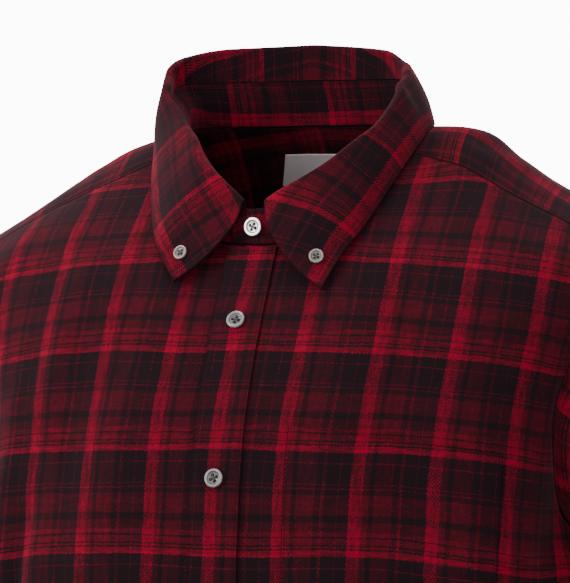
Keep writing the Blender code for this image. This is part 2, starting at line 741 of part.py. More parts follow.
def button(name, point, normal, radius):
    """A four-hole button lying on a point with its face along the normal."""
    height = BUTTON_HEIGHT * radius / BUTTON_RADIUS
    built = turned([(r * radius * MM, h * height * MM) for r, h in BUTTON_PROFILE], BUTTON_SIDES)
    mesh = bpy.data.meshes.new(name)
    built.to_mesh(mesh)
    built.free()
    turn = Vector(normal).to_track_quat("Z", "Y").to_matrix().to_4x4()
    place = Matrix.Translation(Vector(point * MM)) @ turn
    item = add_object(name, mesh, "button")
    cutter = bpy.data.objects.new(f"{name}_holes", hole_cutter(radius * MM, height * MM))
    bpy.context.scene.collection.objects.link(cutter)
    cut = item.modifiers.new("holes", "BOOLEAN")
    cut.object = cutter
    cut.operation = "DIFFERENCE"
    cut.solver = "EXACT"
    bpy.context.view_layer.update()
    graph = bpy.context.evaluated_depsgraph_get()
    cut_mesh = bpy.data.meshes.new_from_object(item.evaluated_get(graph))
    item.modifiers.clear()
    item.data = cut_mesh
    cut_mesh.transform(place)
    bpy.data.objects.remove(cutter, do_unlink=True)
    return item


def on_top(grid, normals, row, column, lift):
    """A point this far above a fractional place of a grid, and the normal there."""
    points, ways = patch(grid, normals, (column, column + 0.01), (row, row + 0.01))
    return points[0, 0] + ways[0, 0] * lift, ways[0, 0]


def row_at(grid, column, z):
    """Fractional row at which a column passes a level."""
    levels = grid[:, column, 2]
    return float(np.interp(-z, -levels, np.arange(len(levels))))


def build():
    clear_scene()
    corner = neck_corner()
    top = front_top(corner)
    seam = top[PLACKET_COLUMNS + NECK_COLUMNS :]
    front_edge = outer_edge(FRONT_YOKE_INDEX, UNDERARM_INDEX, -1)
    top_lengths = [(math.copysign(length_at(abs(a), z, -1), a), z) for a, z in top]
    front = panel(top_lengths, front_edge, -1, FRONT_HEM)

    end_angle, end_z = armhole(BACK_YOKE_INDEX)
    back_angles = evenly(lambda a: body(a, BACK_YOKE_Z), end_angle, 180, BACK_HALF_COLUMNS)
    back_seam = [
        (a, BACK_YOKE_Z + (end_z - BACK_YOKE_Z) * (1 - i / BACK_HALF_COLUMNS) ** 2)
        for i, a in enumerate(back_angles)
    ]
    back_top = [(length_at(a, z, 1), z) for a, z in back_seam[::-1]]
    back_edge = outer_edge(BACK_YOKE_INDEX, UNDERARM_INDEX - ARMHOLE_POINTS, 1)
    back_half = panel(back_top, back_edge, 1, BACK_HEM)[:, ::-1]

    sleeve = sleeve_grid()
    pieces = {
        "front_left": (front, False),
        "front_right": (underlapped(mirrored(front)), False),
        "back": (np.concatenate([back_half, mirrored(back_half)[:, 1:]], axis=1), False),
        "yoke": (yoke_grid(corner, seam, back_seam), False),
        "sleeve_left": (sleeve, True),
        "sleeve_right": (mirrored(sleeve), True),
    }
    pieces = {name: (bulged(grid), wrap) for name, (grid, wrap) in pieces.items()}
    normals = shared_normals(pieces)
    for name, (grid, wrap) in pieces.items():
        wall(name, drawn_back(grid, normals[name], wrap), normals[name], CLOTH, wrap)

    above = CLOTH + SEAM
    strip = patch(front, normals["front_left"], (0, PLACKET_COLUMNS), (PLACKET_TOP_ROW, len(front) - 1))
    wall("placket", *strip, CLOTH, lift=above)
    patch_pocket = patch(front, normals["front_left"], POCKET_COLUMNS, POCKET_ROWS)
    wall("pocket", *patch_pocket, CLOTH, lift=above)
    yoke, _ = pieces["yoke"]
    wall("label", *patch(yoke, normals["yoke"], LABEL_COLUMNS, LABEL_ROWS), CLOTH, kind="label", lift=-above)

    neck = Neckline()
    half_runs = [LEAF_OPENING, *(neck.run_at(a) for a in neck_angles(corner))]
    leaf_runs = [*half_runs, *(neck.length - run for run in half_runs[-2::-1])]
    end = neck.length + STAND_OVERLAP
    stand = stand_grid(neck, [-STAND_OVERLAP, 0, *leaf_runs, neck.length, end])
    stand_normals = normals_of(stand, False)
    wall("collar_stand", stand, stand_normals, BAND)
    leaf = leaf_grid(neck, leaf_runs)
    leaf_normals = normals_of(leaf, False)
    wall("collar_leaf", leaf, leaf_normals, BAND)

    cuff = cuff_grid()
    for name, grid in (("cuff_left", cuff), ("cuff_right", mirrored(cuff))):
        cuff_normals = normals_of(grid, False)
        wall(name, grid, cuff_normals, BAND)
        column = CUFF_BUTTON_COLUMN if name == "cuff_left" else CUFF_POINTS - CUFF_BUTTON_COLUMN
        spot = on_top(grid, cuff_normals, CUFF_ROWS / 2, column, BAND / 2 + SEAM)
        button(f"button_{name}", *spot, BUTTON_RADIUS)

    spot = on_top(stand, stand_normals, STAND_ROWS / 2, 1, BAND / 2 + SEAM)
    button("button_stand", *spot, BUTTON_RADIUS)
    for number, drop in enumerate(BUTTON_DROPS, 1):
        row = row_at(front, 1, front[0, 1, 2] - drop)
        spot = on_top(front, normals["front_left"], row, 1, CLOTH / 2 + above + SEAM)
        button(f"button_{number}", *spot, BUTTON_RADIUS)
    down = LEAF_FALL_STEPS * COLLAR_BUTTON_CUT
    for name, column in (("left", COLLAR_BUTTON_IN), ("right", len(leaf_runs) - 1 - COLLAR_BUTTON_IN)):
        spot = on_top(leaf, -leaf_normals, down, column, BAND / 2 + 2 * SEAM)
        button(f"button_collar_{name}", *spot, COLLAR_BUTTON_RADIUS)


build()
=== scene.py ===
# %% [markdown]
# # A plaid flannel shirt, filled out as if worn
#
# The shirt is a hollow shell of sewn panels: two fronts, a yoke over the shoulders, a back, two sleeves with
# cuffs, and a collar in two parts. Every panel is made the same way, and that is the idea of this lesson:
# a flat grid, as woven cloth is, whose points are moved to their places in space. The grid keeps the cloth's
# own coordinates in its UV map, so the plaid runs along the threads of each panel, whatever its shape.

# %% Load the frame
import math

import bmesh
import bpy
import numpy as np
from mathutils import Matrix, Vector, noise


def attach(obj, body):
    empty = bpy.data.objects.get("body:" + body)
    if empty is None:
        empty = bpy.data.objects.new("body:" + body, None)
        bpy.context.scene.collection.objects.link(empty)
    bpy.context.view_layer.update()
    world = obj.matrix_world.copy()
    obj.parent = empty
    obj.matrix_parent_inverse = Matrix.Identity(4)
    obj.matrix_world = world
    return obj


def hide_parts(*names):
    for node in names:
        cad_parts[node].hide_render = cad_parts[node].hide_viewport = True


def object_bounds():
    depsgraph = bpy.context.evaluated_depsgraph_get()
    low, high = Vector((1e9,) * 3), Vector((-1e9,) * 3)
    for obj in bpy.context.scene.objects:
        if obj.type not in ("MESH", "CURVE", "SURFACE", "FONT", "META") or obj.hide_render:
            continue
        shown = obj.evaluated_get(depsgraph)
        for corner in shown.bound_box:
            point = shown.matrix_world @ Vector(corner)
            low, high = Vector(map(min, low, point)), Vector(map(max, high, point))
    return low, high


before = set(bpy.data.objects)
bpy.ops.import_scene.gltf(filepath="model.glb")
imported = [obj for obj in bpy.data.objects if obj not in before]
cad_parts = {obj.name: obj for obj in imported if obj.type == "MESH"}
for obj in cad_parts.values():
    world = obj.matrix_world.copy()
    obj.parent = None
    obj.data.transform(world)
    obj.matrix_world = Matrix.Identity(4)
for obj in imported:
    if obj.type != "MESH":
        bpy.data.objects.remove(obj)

cad_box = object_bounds()
MM = 0.001  # the tables and lengths below are in millimetres
print("CAD box:", [[round(value, 3) for value in corner] for corner in cad_box])

# %% [markdown]
# ## The figure that fills the shirt
#
# The filled torso is one surface of level sections. Each section is a rounded oval, wider than deep, and the
# table gives one row for each level. Rows between them are found by `along`, which eases from one row to the
# next and never overshoots, so a shoulder can't gain a bump that nobody asked for.

# %% Tables of the torso
# z, half_width, front, back, middle, roundness
BODY = (
    (8, 46, 2, 34, 18.0, 1.90),
    (0, 67, -4, 38.5, 18.0, 1.90),
    (-5.5, 94, -10.5, 44, 17.0, 1.90),
    (-16, 122, -24.7, 53, 17.0, 1.90),
    (-28, 143, -37.2, 60, 18.0, 1.92),
    (-53, 185, -60, 72, 20.0, 1.95),
    (-73, 218, -78, 79, 22.0, 1.98),
    (-83, 231, -84.5, 82, 22.0, 2.00),
    (-95, 231, -92, 86, 20.0, 2.06),
    (-128, 217, -111, 95, 12.0, 2.20),
    (-183, 194, -136, 104, 5.0, 2.30),
    (-225, 192, -145, 107, 2.0, 2.35),
    (-265, 202, -149, 107, 0.0, 2.35),
    (-310, 205, -147, 104, -1.0, 2.35),
    (-400, 206, -139, 98, -3.0, 2.32),
    (-520, 206, -130, 97, -4.0, 2.30),
    (-705, 209, -124, 101, -4.0, 2.28),
)
SECTION_STEPS = 60  # points on a quarter of a section

# Folds of the torso: the line's two ends seen from front or back, and its section
# side, x0, z0, x1, z1, width, height
FOLDS = (
    (-1, -150, -100, -128, -300, 13, 5.0),
    (-1, -118, -300, -150, -520, 17, 4.0),
    (-1, 152, -130, 140, -330, 13, 4.5),
    (-1, 130, -330, 160, -560, 18, 4.0),
    (-1, 70, -360, 92, -650, 20, 3.0),
    (-1, -66, -380, -80, -660, 20, 3.0),
    (1, -150, -140, -120, -400, 16, 5.0),
    (1, 146, -150, 118, -380, 16, 4.5),
    (1, 50, -360, 66, -660, 22, 4.0),
    (1, -56, -330, -70, -640, 22, 4.5),
)
FOLD_START, FOLD_FADE = -90, 40  # the folds come in below this level, over this height
FOLD_SIDE_FADE = 3.0  # and die away near the side seam, where the angle's cosine is under a third

# Soft bulge of the left shoulder: its middle, widths and height, and where it starts beside the collar
BULGE_X, BULGE_Y, BULGE_WIDTH_X, BULGE_WIDTH_Y, BULGE_HEIGHT = 110, 4, 24, 34, 8.5
BULGE_START, BULGE_FADE = 76, 24

# %% Reading a table
def along(rows, key):
    """The row of a table at a key, eased between its rows without overshooting."""
    table = np.array(rows, float)
    if table[0, 0] > table[-1, 0]:
        table = table[::-1]
    keys, values = table[:, 0], table[:, 1:]
    key = min(max(key, keys[0]), keys[-1])
    slopes = np.diff(values, axis=0) / np.diff(keys)[:, None]
    before, after = slopes[:-1], slopes[1:]
    same = before * after > 0
    mean = np.where(same, 2 * before * after / np.where(same, before + after, 1), 0)
    tangents = np.vstack([slopes[:1], mean, slopes[-1:]])
    i = min(int(np.searchsorted(keys, key, side="right")) - 1, len(keys) - 2)
    span = keys[i + 1] - keys[i]
    t = (key - keys[i]) / span
    return (
        (2 * t**3 - 3 * t**2 + 1) * values[i]
        + (t**3 - 2 * t**2 + t) * span * tangents[i]
        + (3 * t**2 - 2 * t**3) * values[i + 1]
        + (t**3 - t**2) * span * tangents[i + 1]
    )


# %% Directions, easing and ridges
def unit(vectors):
    return vectors / np.maximum(np.linalg.norm(vectors, axis=-1, keepdims=True), 1e-12)


def ease(value):
    t = np.clip(value, 0.0, 1.0)
    return t * t * (3 - 2 * t)


def ridge(x, z, x0, z0, x1, z1, width):
    """Height, from 0 to 1, of a soft ridge along a line that dies away at both ends."""
    run = np.array([x1 - x0, z1 - z0], float)
    length = np.linalg.norm(run)
    part = ((x - x0) * run[0] + (z - z0) * run[1]) / length**2
    off = ((x - x0) * run[1] - (z - z0) * run[0]) / length
    ends = math.sin(math.pi * part) if 0 < part < 1 else 0.0
    return ends * math.exp(-((off / width) ** 2))


# %% A point of the torso
def body(angle, z):
    """A point of the torso surface. The angle runs from the front centre by the wearer's left, 90, to 180."""
    half_width, front, back, middle, roundness = along(BODY, z)
    turn = math.radians(angle)
    s, c = math.sin(turn), math.cos(turn)
    x = math.copysign(half_width * abs(s) ** (2 / roundness), s)
    depth = (front if c > 0 else back) - middle
    y = middle + depth * abs(c) ** (2 / roundness)
    side = -1 if c > 0 else 1
    swell = sum(h * ridge(x, z, *line, w) for where, *line, w, h in FOLDS if where == side)
    out = unit(np.array([x / half_width**2, (y - middle) / depth**2]))
    fade = ease((FOLD_START - z) / FOLD_FADE) * min(1.0, abs(c) * FOLD_SIDE_FADE)
    return np.array([x + out[0] * swell * fade, y + out[1] * swell * fade, z])


CHEST_LEVEL = -225
chest_front, chest_side, chest_back = (body(angle, CHEST_LEVEL) for angle in (0, 90, 180))
print("Chest, half width and depth:", round(chest_side[0]), round(chest_back[1] - chest_front[1]))

# %% Distances along a level section
def section_lengths(z, side):
    """Angles from the centre to the side, -1 for the front or 1 for the back, and how far round each is."""
    centre = 0 if side < 0 else 180
    angles = np.linspace(centre, 90, SECTION_STEPS)
    points = np.array([body(a, z) for a in angles])
    steps = np.linalg.norm(np.diff(points, axis=0), axis=1)
    return angles, np.concatenate([[0], np.cumsum(steps)])


def length_at(angle, z, side):
    angles, lengths = section_lengths(z, side)
    return np.interp(angle * -side, angles * -side, lengths)


def point_at(length, z, side):
    """The surface point this far from the centre along the level section, or, if negative, across it."""
    angles, lengths = section_lengths(z, side)
    point = body(np.interp(abs(length), lengths, angles), z)
    return point if length >= 0 else point * (-1, 1, 1)


# %% [markdown]
# ## Where the panels meet
#
# The neckline, the armholes and the yoke's seams are curves on that surface. They come first, because a
# shirt's panels only meet without a gap if both read the same curve.

# %% Tables of the seams
CLOTH = 1.2  # wall of every single layer
BAND = 2.0  # wall of the faced pieces: collar, stand and cuffs
SEAM = 0.3  # space left between neighbouring pieces
UNDERLAP_STEP = CLOTH + SEAM  # how far the right front lies inside the left one
BAND_STEP = BAND + 2 * SEAM  # the same for the ends of a band
FRONT_NECK_SLOPE, BACK_NECK_SLOPE = 0.936, 0.01  # fall of the neckline for each millimetre forward
NECK_BEND = 9  # how softly one slope turns into the other
NECK_LEVELS, CORNER_ANGLES, PLACKET_ANGLES = (-90, 7), (10, 80), (0, 20)  # where its points are looked for
HALVINGS = 40  # of such a range, until one point is left
FRONT_HEM, BACK_HEM, SIDE_HEM = -695, -702, -640  # levels at the centres and at the side seam
CURVE_STEPS = 240  # points at which a curve is measured
ARMHOLE_POINTS = 28
ARMHOLE_MIDDLE_Z, ARMHOLE_HALF_HEIGHT = -173.5, 91.5
ARMHOLE_FORWARD, ARMHOLE_BACKWARD = 66, 70  # how far it reaches from the middle of the section
FRONT_YOKE_INDEX, BACK_YOKE_INDEX, UNDERARM_INDEX = 2, -3, ARMHOLE_POINTS // 2  # where seams end on it

PLACKET_HALF = 15.5  # half of its width
PLACKET_COLUMNS, NECK_COLUMNS, SEAM_COLUMNS = 2, 6, 8  # of a front, along its top edge
POCKET_EDGES, POCKET_STEPS = (42, 167), 9  # from the front centre along the cloth
BACK_HALF_COLUMNS = 7
SIDE_ROWS = 9  # of a front or a half back, below the armhole
YOKE_EASE_COLUMNS = 4  # columns over which the yoke's rows turn from its front seam's shape
YOKE_SEAM = ((60, -12), (69, -15), (103, -28.6), (165, -55.4), (226, -89))  # x, z of the front yoke seam
BACK_YOKE_Z = -96
NECK_PULL_ROWS = 6  # rows over which the shape of a panel's top edge fades out
UNDERLAP_FADE = (18, 50)  # distances from the centre between which the right front steps in

# %% The neckline
def neck_level(y):
    """Level of the neckline where it is this far back."""
    fall = (FRONT_NECK_SLOPE - BACK_NECK_SLOPE) * NECK_BEND
    return BACK_NECK_SLOPE * y - fall * math.log1p(math.exp(-y / NECK_BEND))


def neck_z(angle):
    """Level at which the neckline lies on the torso surface at an angle."""
    low, high = NECK_LEVELS
    for _ in range(HALVINGS):
        z = (low + high) / 2
        low, high = (z, high) if z < neck_level(body(angle, z)[1]) else (low, z)
    return z


# %% The armhole
def armhole(index):
    """Angle and level of an armhole point. Index 0 is the shoulder point, and the front comes first."""
    turn = 2 * math.pi * index / ARMHOLE_POINTS
    z = ARMHOLE_MIDDLE_Z + ARMHOLE_HALF_HEIGHT * math.cos(turn)
    _, front, back, middle, roundness = along(BODY, z)
    reach = ARMHOLE_FORWARD if math.sin(turn) > 0 else ARMHOLE_BACKWARD
    y = middle - reach * math.sin(turn)
    depth = front - middle if y < middle else back - middle
    cosine = min(1.0, ((y - middle) / depth) ** (roundness / 2)) if y != middle else 0.0
    angle = math.degrees(math.acos(cosine))
    return (angle if y <= middle else 180 - angle), z


# %% Points along the seams
def evenly(function, start, end, count):
    """Values between start and end at which the curve's points are equally far apart."""
    values = np.linspace(start, end, CURVE_STEPS)
    points = np.array([function(v) for v in values])
    run = np.concatenate([[0], np.cumsum(np.linalg.norm(np.diff(points, axis=0), axis=1))])
    return np.interp(np.linspace(0, run[-1], count + 1), run, values)


def neck_point(angle):
    return body(angle, neck_z(angle))


def seam_spot(x):
    """Angle and level of the front yoke seam at a distance from the centre."""
    z = along(YOKE_SEAM, x)[0]
    half_width, _, _, _, roundness = along(BODY, z)
    return math.degrees(math.asin(min(1.0, x / half_width) ** (roundness / 2))), z


def neck_corner():
    """Angle at which the neckline meets the front yoke seam."""
    low, high = CORNER_ANGLES
    for _ in range(HALVINGS):
        angle = (low + high) / 2
        point = neck_point(angle)
        low, high = (angle, high) if point[2] < along(YOKE_SEAM, point[0])[0] else (low, angle)
    return angle


def placket_angle():
    """Angle at which the neckline meets the placket's fold line."""
    angles = np.linspace(*PLACKET_ANGLES, CURVE_STEPS)
    return float(np.interp(PLACKET_HALF, [neck_point(a)[0] for a in angles], angles))


corner = neck_corner()
print("Neck, front and back:", neck_point(0).round(0), neck_point(180).round(0))
print("Armhole, top and bottom:", body(*armhole(0)).round(0), body(*armhole(UNDERARM_INDEX)).round(0))

# %% [markdown]
# ## Panels as grids
#
# A panel is a grid between a top edge and an outer edge, hung straight at the centre. It could be cut flat
# and draped by a cloth simulation, but then its edges would only meet roughly. Each grid point carries five
# numbers: its place, and where it is on the cloth. The cloth runs on across both fronts, as the fabric is
# woven once and cut twice, so mirroring a grid turns the first cloth number round as well as the place.

# %% The edges of a panel
def front_top(corner):
    """The front's top edge as (angle, level): the neckline from the placket's edge, then the yoke seam."""
    near = placket_angle()
    spots = [(-near, neck_z(near)), (0.0, neck_z(0)), (near, neck_z(near))]
    spots += [(a, neck_z(a)) for a in evenly(neck_point, near, corner, NECK_COLUMNS)[1:]]
    start = neck_point(corner)[0]
    end_angle, end_z = armhole(FRONT_YOKE_INDEX)
    end = body(end_angle, end_z)[0]
    seam = evenly(lambda x: body(*seam_spot(x)), start, end, SEAM_COLUMNS)
    spots += [seam_spot(x) for x in seam[1:-1]]
    return spots + [(end_angle, end_z)]


def outer_edge(first, last, side):
    """A panel's outer edge as (length, level): the armhole, then the side seam down to the hem."""
    step = 1 if last > first else -1
    hole = [armhole(i) for i in range(first, last + step, step)]
    edge = [(length_at(a, z, side), z) for a, z in hole]
    for z in np.linspace(edge[-1][1], SIDE_HEM, SIDE_ROWS + 1)[1:]:
        edge.append((section_lengths(z, side)[1][-1], z))
    return edge


# %% A panel between its edges
def column_lengths(reach, side):
    """Where a panel's columns lie on a level section that is this long from its centre to its edge."""
    if side > 0:
        return np.linspace(0, reach, BACK_HALF_COLUMNS + 1)
    near, far = POCKET_EDGES
    count = PLACKET_COLUMNS + NECK_COLUMNS + SEAM_COLUMNS
    rest = count - PLACKET_COLUMNS - 1 - POCKET_STEPS
    placket = [-PLACKET_HALF, 0, PLACKET_HALF]
    pocket = np.linspace(near, far, POCKET_STEPS + 1)
    return np.concatenate([placket, pocket, np.linspace(far, reach, rest + 1)[1:]])


def panel(top, outer, side, hem):
    """Grid between a top edge and an outer edge, each point with its length from the centre and its level."""
    rows, straight = len(outer), len(outer) - SIDE_ROWS
    first_free = PLACKET_COLUMNS if side < 0 else 0
    weights = np.clip((np.arange(len(top)) - first_free) / (len(top) - 1 - first_free), 0, None)
    centre = list(np.linspace(top[0][1], outer[straight - 1][1], straight))
    centre += list(np.linspace(centre[-1], hem, SIDE_ROWS + 1)[1:])
    start = column_lengths(top[-1][0], side)
    grid = np.zeros((rows, len(top), 5))
    for j, (reach, edge_z) in enumerate(outer):
        pull = max(0.0, 1 - j / NECK_PULL_ROWS) ** 2
        drop = max(0.0, (j - straight + 1) / SIDE_ROWS) ** 2
        lengths = column_lengths(reach, side)
        stray = 1 - ease(j / NECK_PULL_ROWS)
        for k, (top_length, z) in enumerate(top):
            w = weights[k]
            length = lengths[k] + stray * (top_length - start[k])
            level = centre[j] + w * (edge_z - centre[j])
            first = centre[0] + w * (outer[0][1] - centre[0])
            curve = (hem - SIDE_HEM) * (w - ease(w))
            level += pull * (z - first) + drop * curve
            grid[j, k] = [*point_at(length, level, side), length, level]
    return grid


# %% Mirroring and stepping in
def mirrored(grid):
    turn = np.array([-1, 1, 1, -1, 1])[: grid.shape[2]]
    return grid[:, ::-1] * turn


def normals_of(grid, wrap):
    down = np.gradient(grid, axis=0)
    if wrap:
        across = np.roll(grid, -1, 1) - np.roll(grid, 1, 1)
    else:
        across = np.gradient(grid, axis=1)
    return unit(np.cross(down, across))


def underlapped(grid):
    """The right front: its inner part stepped in under the left front."""
    stepped = grid.copy()
    normals = normals_of(grid[..., :3], wrap=False)
    near, far = UNDERLAP_FADE
    for spot in np.ndindex(grid.shape[:2]):
        inside = ease((far + grid[spot][0]) / (far - near))
        stepped[spot][:3] -= normals[spot] * UNDERLAP_STEP * inside
    return stepped


# %% The fronts and the back
top = front_top(corner)
front_seam = top[PLACKET_COLUMNS + NECK_COLUMNS :]
front_edge = outer_edge(FRONT_YOKE_INDEX, UNDERARM_INDEX, -1)
top_lengths = [(math.copysign(length_at(abs(a), z, -1), a), z) for a, z in top]
front = panel(top_lengths, front_edge, -1, FRONT_HEM)

end_angle, end_z = armhole(BACK_YOKE_INDEX)
back_angles = evenly(lambda a: body(a, BACK_YOKE_Z), end_angle, 180, BACK_HALF_COLUMNS)
back_seam = [
    (a, BACK_YOKE_Z + (end_z - BACK_YOKE_Z) * (1 - i / BACK_HALF_COLUMNS) ** 2)
    for i, a in enumerate(back_angles)
]
back_top = [(length_at(a, z, 1), z) for a, z in back_seam[::-1]]
back_edge = outer_edge(BACK_YOKE_INDEX, UNDERARM_INDEX - ARMHOLE_POINTS, 1)
back_half = panel(back_top, back_edge, 1, BACK_HEM)[:, ::-1]
print("Front grid", front.shape[:2], "back half", back_half.shape[:2])

# %% Straight threads on the fronts and the back
DROOP, DROOP_AT = 11, 180  # how far the weft hangs lower this far out, growing as a cube
DROOP_MOST = 1.1  # part of that distance beyond which it grows no more
OFF_GRAIN, OFF_GRAIN_Z = 0.03, -137  # the warp's slant, and the level where it starts from


def fall_of(side):
    """Length of cloth from the neck down to each level, down the centre of one side."""
    levels = np.linspace(BODY[0][0], BODY[-1][0], CURVE_STEPS)
    centre = np.array([body(0 if side < 0 else 180, z) for z in levels])
    run = np.concatenate([[0], np.cumsum(np.linalg.norm(np.diff(centre, axis=0), axis=1))])
    return lambda z: np.interp(-z, -levels, run)


def threaded(grid, side):
    """The same grid with its length and level turned into cloth coordinates, across and down, in metres."""
    length, level = grid[..., 3], grid[..., 4]
    droop = DROOP * np.minimum(np.abs(length) / DROOP_AT, DROOP_MOST) ** 3
    across = length + OFF_GRAIN * (OFF_GRAIN_Z - level) * (side < 0)
    down = fall_of(side)(np.clip(level + droop, BODY[-1][0], BODY[0][0]))
    return np.concatenate([grid[..., :3], np.stack([across, down], -1) * MM], axis=-1)


def bulged(grid):
    """The grid with the left shoulder raised into its bulge."""
    x, y = grid[..., 0], grid[..., 1]
    off = ((x - BULGE_X) / BULGE_WIDTH_X) ** 2 + ((y - BULGE_Y) / BULGE_WIDTH_Y) ** 2
    height = BULGE_HEIGHT * np.exp(-off)
    raised = grid.copy()
    raised[..., 2] += height * ease((x - BULGE_START) / BULGE_FADE)
    return raised


front_left = bulged(threaded(front, -1))
front_right = bulged(threaded(underlapped(mirrored(front)), -1))
back = bulged(threaded(np.concatenate([back_half, mirrored(back_half)[:, 1:]], axis=1), 1))
for title, grid in (("Left front", front_left), ("Right front", front_right), ("Back", back)):
    print(title, "cloth from", grid[..., 3:].min((0, 1)).round(3), "to", grid[..., 3:].max((0, 1)).round(3))

# %% The yoke
def yoke_grid(corner, seam, back_seam):
    """Rows from the neckline outwards; columns from the left front seam round the back to the right one."""
    side_steps = FRONT_YOKE_INDEX - BACK_YOKE_INDEX
    inner = [(a, neck_z(a)) for a in evenly(neck_point, corner, 180, len(back_seam) - 1 + side_steps)]
    outer = [armhole(i) for i in range(FRONT_YOKE_INDEX, BACK_YOKE_INDEX, -1)] + back_seam
    count = len(seam) - 1
    grid = np.zeros((count + 1, len(inner), 3))
    for q in range(len(inner)):
        near = np.array(inner[q])
        far = np.array(outer[q])
        pull = max(0.0, 1 - q / YOKE_EASE_COLUMNS) ** 2
        for r in range(count + 1):
            part = r / count
            straight = np.array(inner[0]) * (1 - part) + np.array(outer[0]) * part
            spot = near * (1 - part) + far * part + pull * (np.array(seam[r]) - straight)
            grid[r, q] = body(*spot)
    return np.concatenate([grid, mirrored(grid)[:, 1:]], axis=1)


yoke = yoke_grid(corner, front_seam, back_seam)
YOKE_SLOPE = 1.12  # cloth over a shoulder is longer than its level run
yoke_threads = yoke[..., :2] * YOKE_SLOPE * MM
yoke = bulged(np.concatenate([yoke, yoke_threads], axis=-1))
print("Yoke grid", yoke.shape[:2])

# %% [markdown]
# ## Sleeves and cuffs
#
# A sleeve is a tube of rings from the armhole to the cuff. Its first ring is the armhole itself, so the seam
# closes, and a table gives the others. The rings start under the arm, because the sleeve's seam is there and
# the plaid may break at it.

# %% Tables of the sleeve
# along, out_x, out_z, in_x, in_z, middle_y, half_depth, saddle
SLEEVE = (
    (0.00, 229, -82, 202, -265, 2, 67, 42),
    (0.07, 264, -112, 208, -272, 1, 71, 20),
    (0.14, 286, -150, 212, -285, -1, 73, 8),
    (0.23, 298, -205, 215, -306, -3, 73, 2),
    (0.34, 305, -275, 219, -339, -6, 71, 0),
    (0.48, 310, -360, 225, -395, -10, 67, 0),
    (0.62, 314, -443, 231, -462, -14, 62, 0),
    (0.80, 317, -535, 238, -543, -19, 55, 0),
    (0.93, 318, -600, 243, -603, -22, 49, 0),
    (1.00, 316, -628, 247, -628, -23, 41, 0),
)
SLEEVE_ROWS, SLEEVE_SPACING = 15, 1.15  # rows closer together near the armhole
UNDERARM_STEP = CLOTH + 1.5 * SEAM  # in the crease where both walls hang down
UNDERARM_FROM, UNDERARM_FADE = 0.43, 0.2  # its start below the armhole's middle, and its run, in half heights
ARMHOLE_FADE = 0.22  # part of the sleeve over which the armhole's own shape fades out
# turn0, along0, turn1, along1, width, height
SLEEVE_FOLDS = (
    (60, 0.10, 110, 0.36, 0.055, 4.0),
    (-70, 0.08, -120, 0.34, 0.055, 4.0),
    (150, 0.50, 60, 0.60, 0.030, 4.5),
    (170, 0.62, 80, 0.70, 0.030, 4.0),
    (-30, 0.68, 40, 0.88, 0.050, 3.0),
    (-150, 0.72, -90, 0.92, 0.045, 3.5),
)
FOLD_TURN = 400.0  # degrees of turn that count as one sleeve length

# %% Rings of the sleeve
def sleeve_ring(part, turn):
    """A point of the sleeve. The turn runs from the outside, 0, by the front, 90."""
    out_x, out_z, in_x, in_z, middle_y, half_depth, saddle = along(SLEEVE, part)
    middle = np.array([(out_x + in_x) / 2, middle_y, (out_z + in_z) / 2])
    across = np.array([(out_x - in_x) / 2, 0, (out_z - in_z) / 2])
    c, s = math.cos(turn), math.sin(turn)
    out = unit(across * c + np.array([0, -half_depth * s, 0]))
    degrees = (math.degrees(turn) + 180) % 360 - 180
    swell = sum(
        h * ridge(degrees / FOLD_TURN, part, t0 / FOLD_TURN, p0, t1 / FOLD_TURN, p1, w)
        for t0, p0, t1, p1, w, h in SLEEVE_FOLDS
    )
    return middle + across * c + np.array([-saddle * s * s, -half_depth * s, 0]) + out * swell


def sleeve_grid():
    hole = np.array([body(*armhole(i)) for i in range(ARMHOLE_POINTS)])
    turns = 2 * np.pi * np.arange(ARMHOLE_POINTS) / ARMHOLE_POINTS
    hole[:, 0] += [UNDERARM_STEP * ease((-math.cos(t) - UNDERARM_FROM) / UNDERARM_FADE) for t in turns]
    start = np.array([sleeve_ring(0, t) for t in turns])
    rows = []
    for part in np.linspace(0, 1, SLEEVE_ROWS + 1) ** SLEEVE_SPACING:
        fade = ease(1 - part / ARMHOLE_FADE)
        rows.append(np.array([sleeve_ring(part, t) for t in turns]) + fade * (hole - start))
    return np.array(rows)[:, ::-1]


# %% Lengths along a grid
def arc_across(grid, middle):
    """Length along each row of a grid from one of its columns."""
    steps = np.linalg.norm(np.diff(grid[..., :3], axis=1), axis=2)
    run = np.concatenate([np.zeros((len(grid), 1)), np.cumsum(steps, axis=1)], axis=1)
    return run - run[:, middle : middle + 1]


def arc_down(grid):
    """Length down each column of a grid from its first row."""
    steps = np.linalg.norm(np.diff(grid[..., :3], axis=0), axis=2)
    return np.concatenate([np.zeros((1, grid.shape[1])), np.cumsum(steps, axis=0)])


# %% The sleeves
ring = sleeve_grid()
ring = np.roll(ring, ARMHOLE_POINTS // 2 + 1, axis=1)
ring = np.concatenate([ring, ring[:, :1]], axis=1)
outside = ARMHOLE_POINTS // 2
sleeve_across = arc_across(ring, outside)
sleeve_down = np.broadcast_to(arc_down(ring)[:, outside : outside + 1], sleeve_across.shape)
sleeve_left = np.concatenate([ring, np.stack([sleeve_across, sleeve_down], -1) * MM], axis=-1)
sleeve_right = mirrored(sleeve_left)
print("Sleeve grid", ring.shape[:2], "from", ring[0, 0].round(0), "over", ring[0, outside].round(0))

# %% The cuffs
CUFF_HEIGHT, CUFF_ROWS, CUFF_POINTS = 62, 2, 24
CUFF_TAPER = 2.0  # how far its wall leans in towards the hand
CUFF_GAP = 0.4  # between the sleeve's end and the cuff
CUFF_START, CUFF_OVERLAP = 268, 40  # degrees of turn
CUFF_STEP_FROM, CUFF_STEP_TURN = 90, 60  # the inner end steps in over this turn


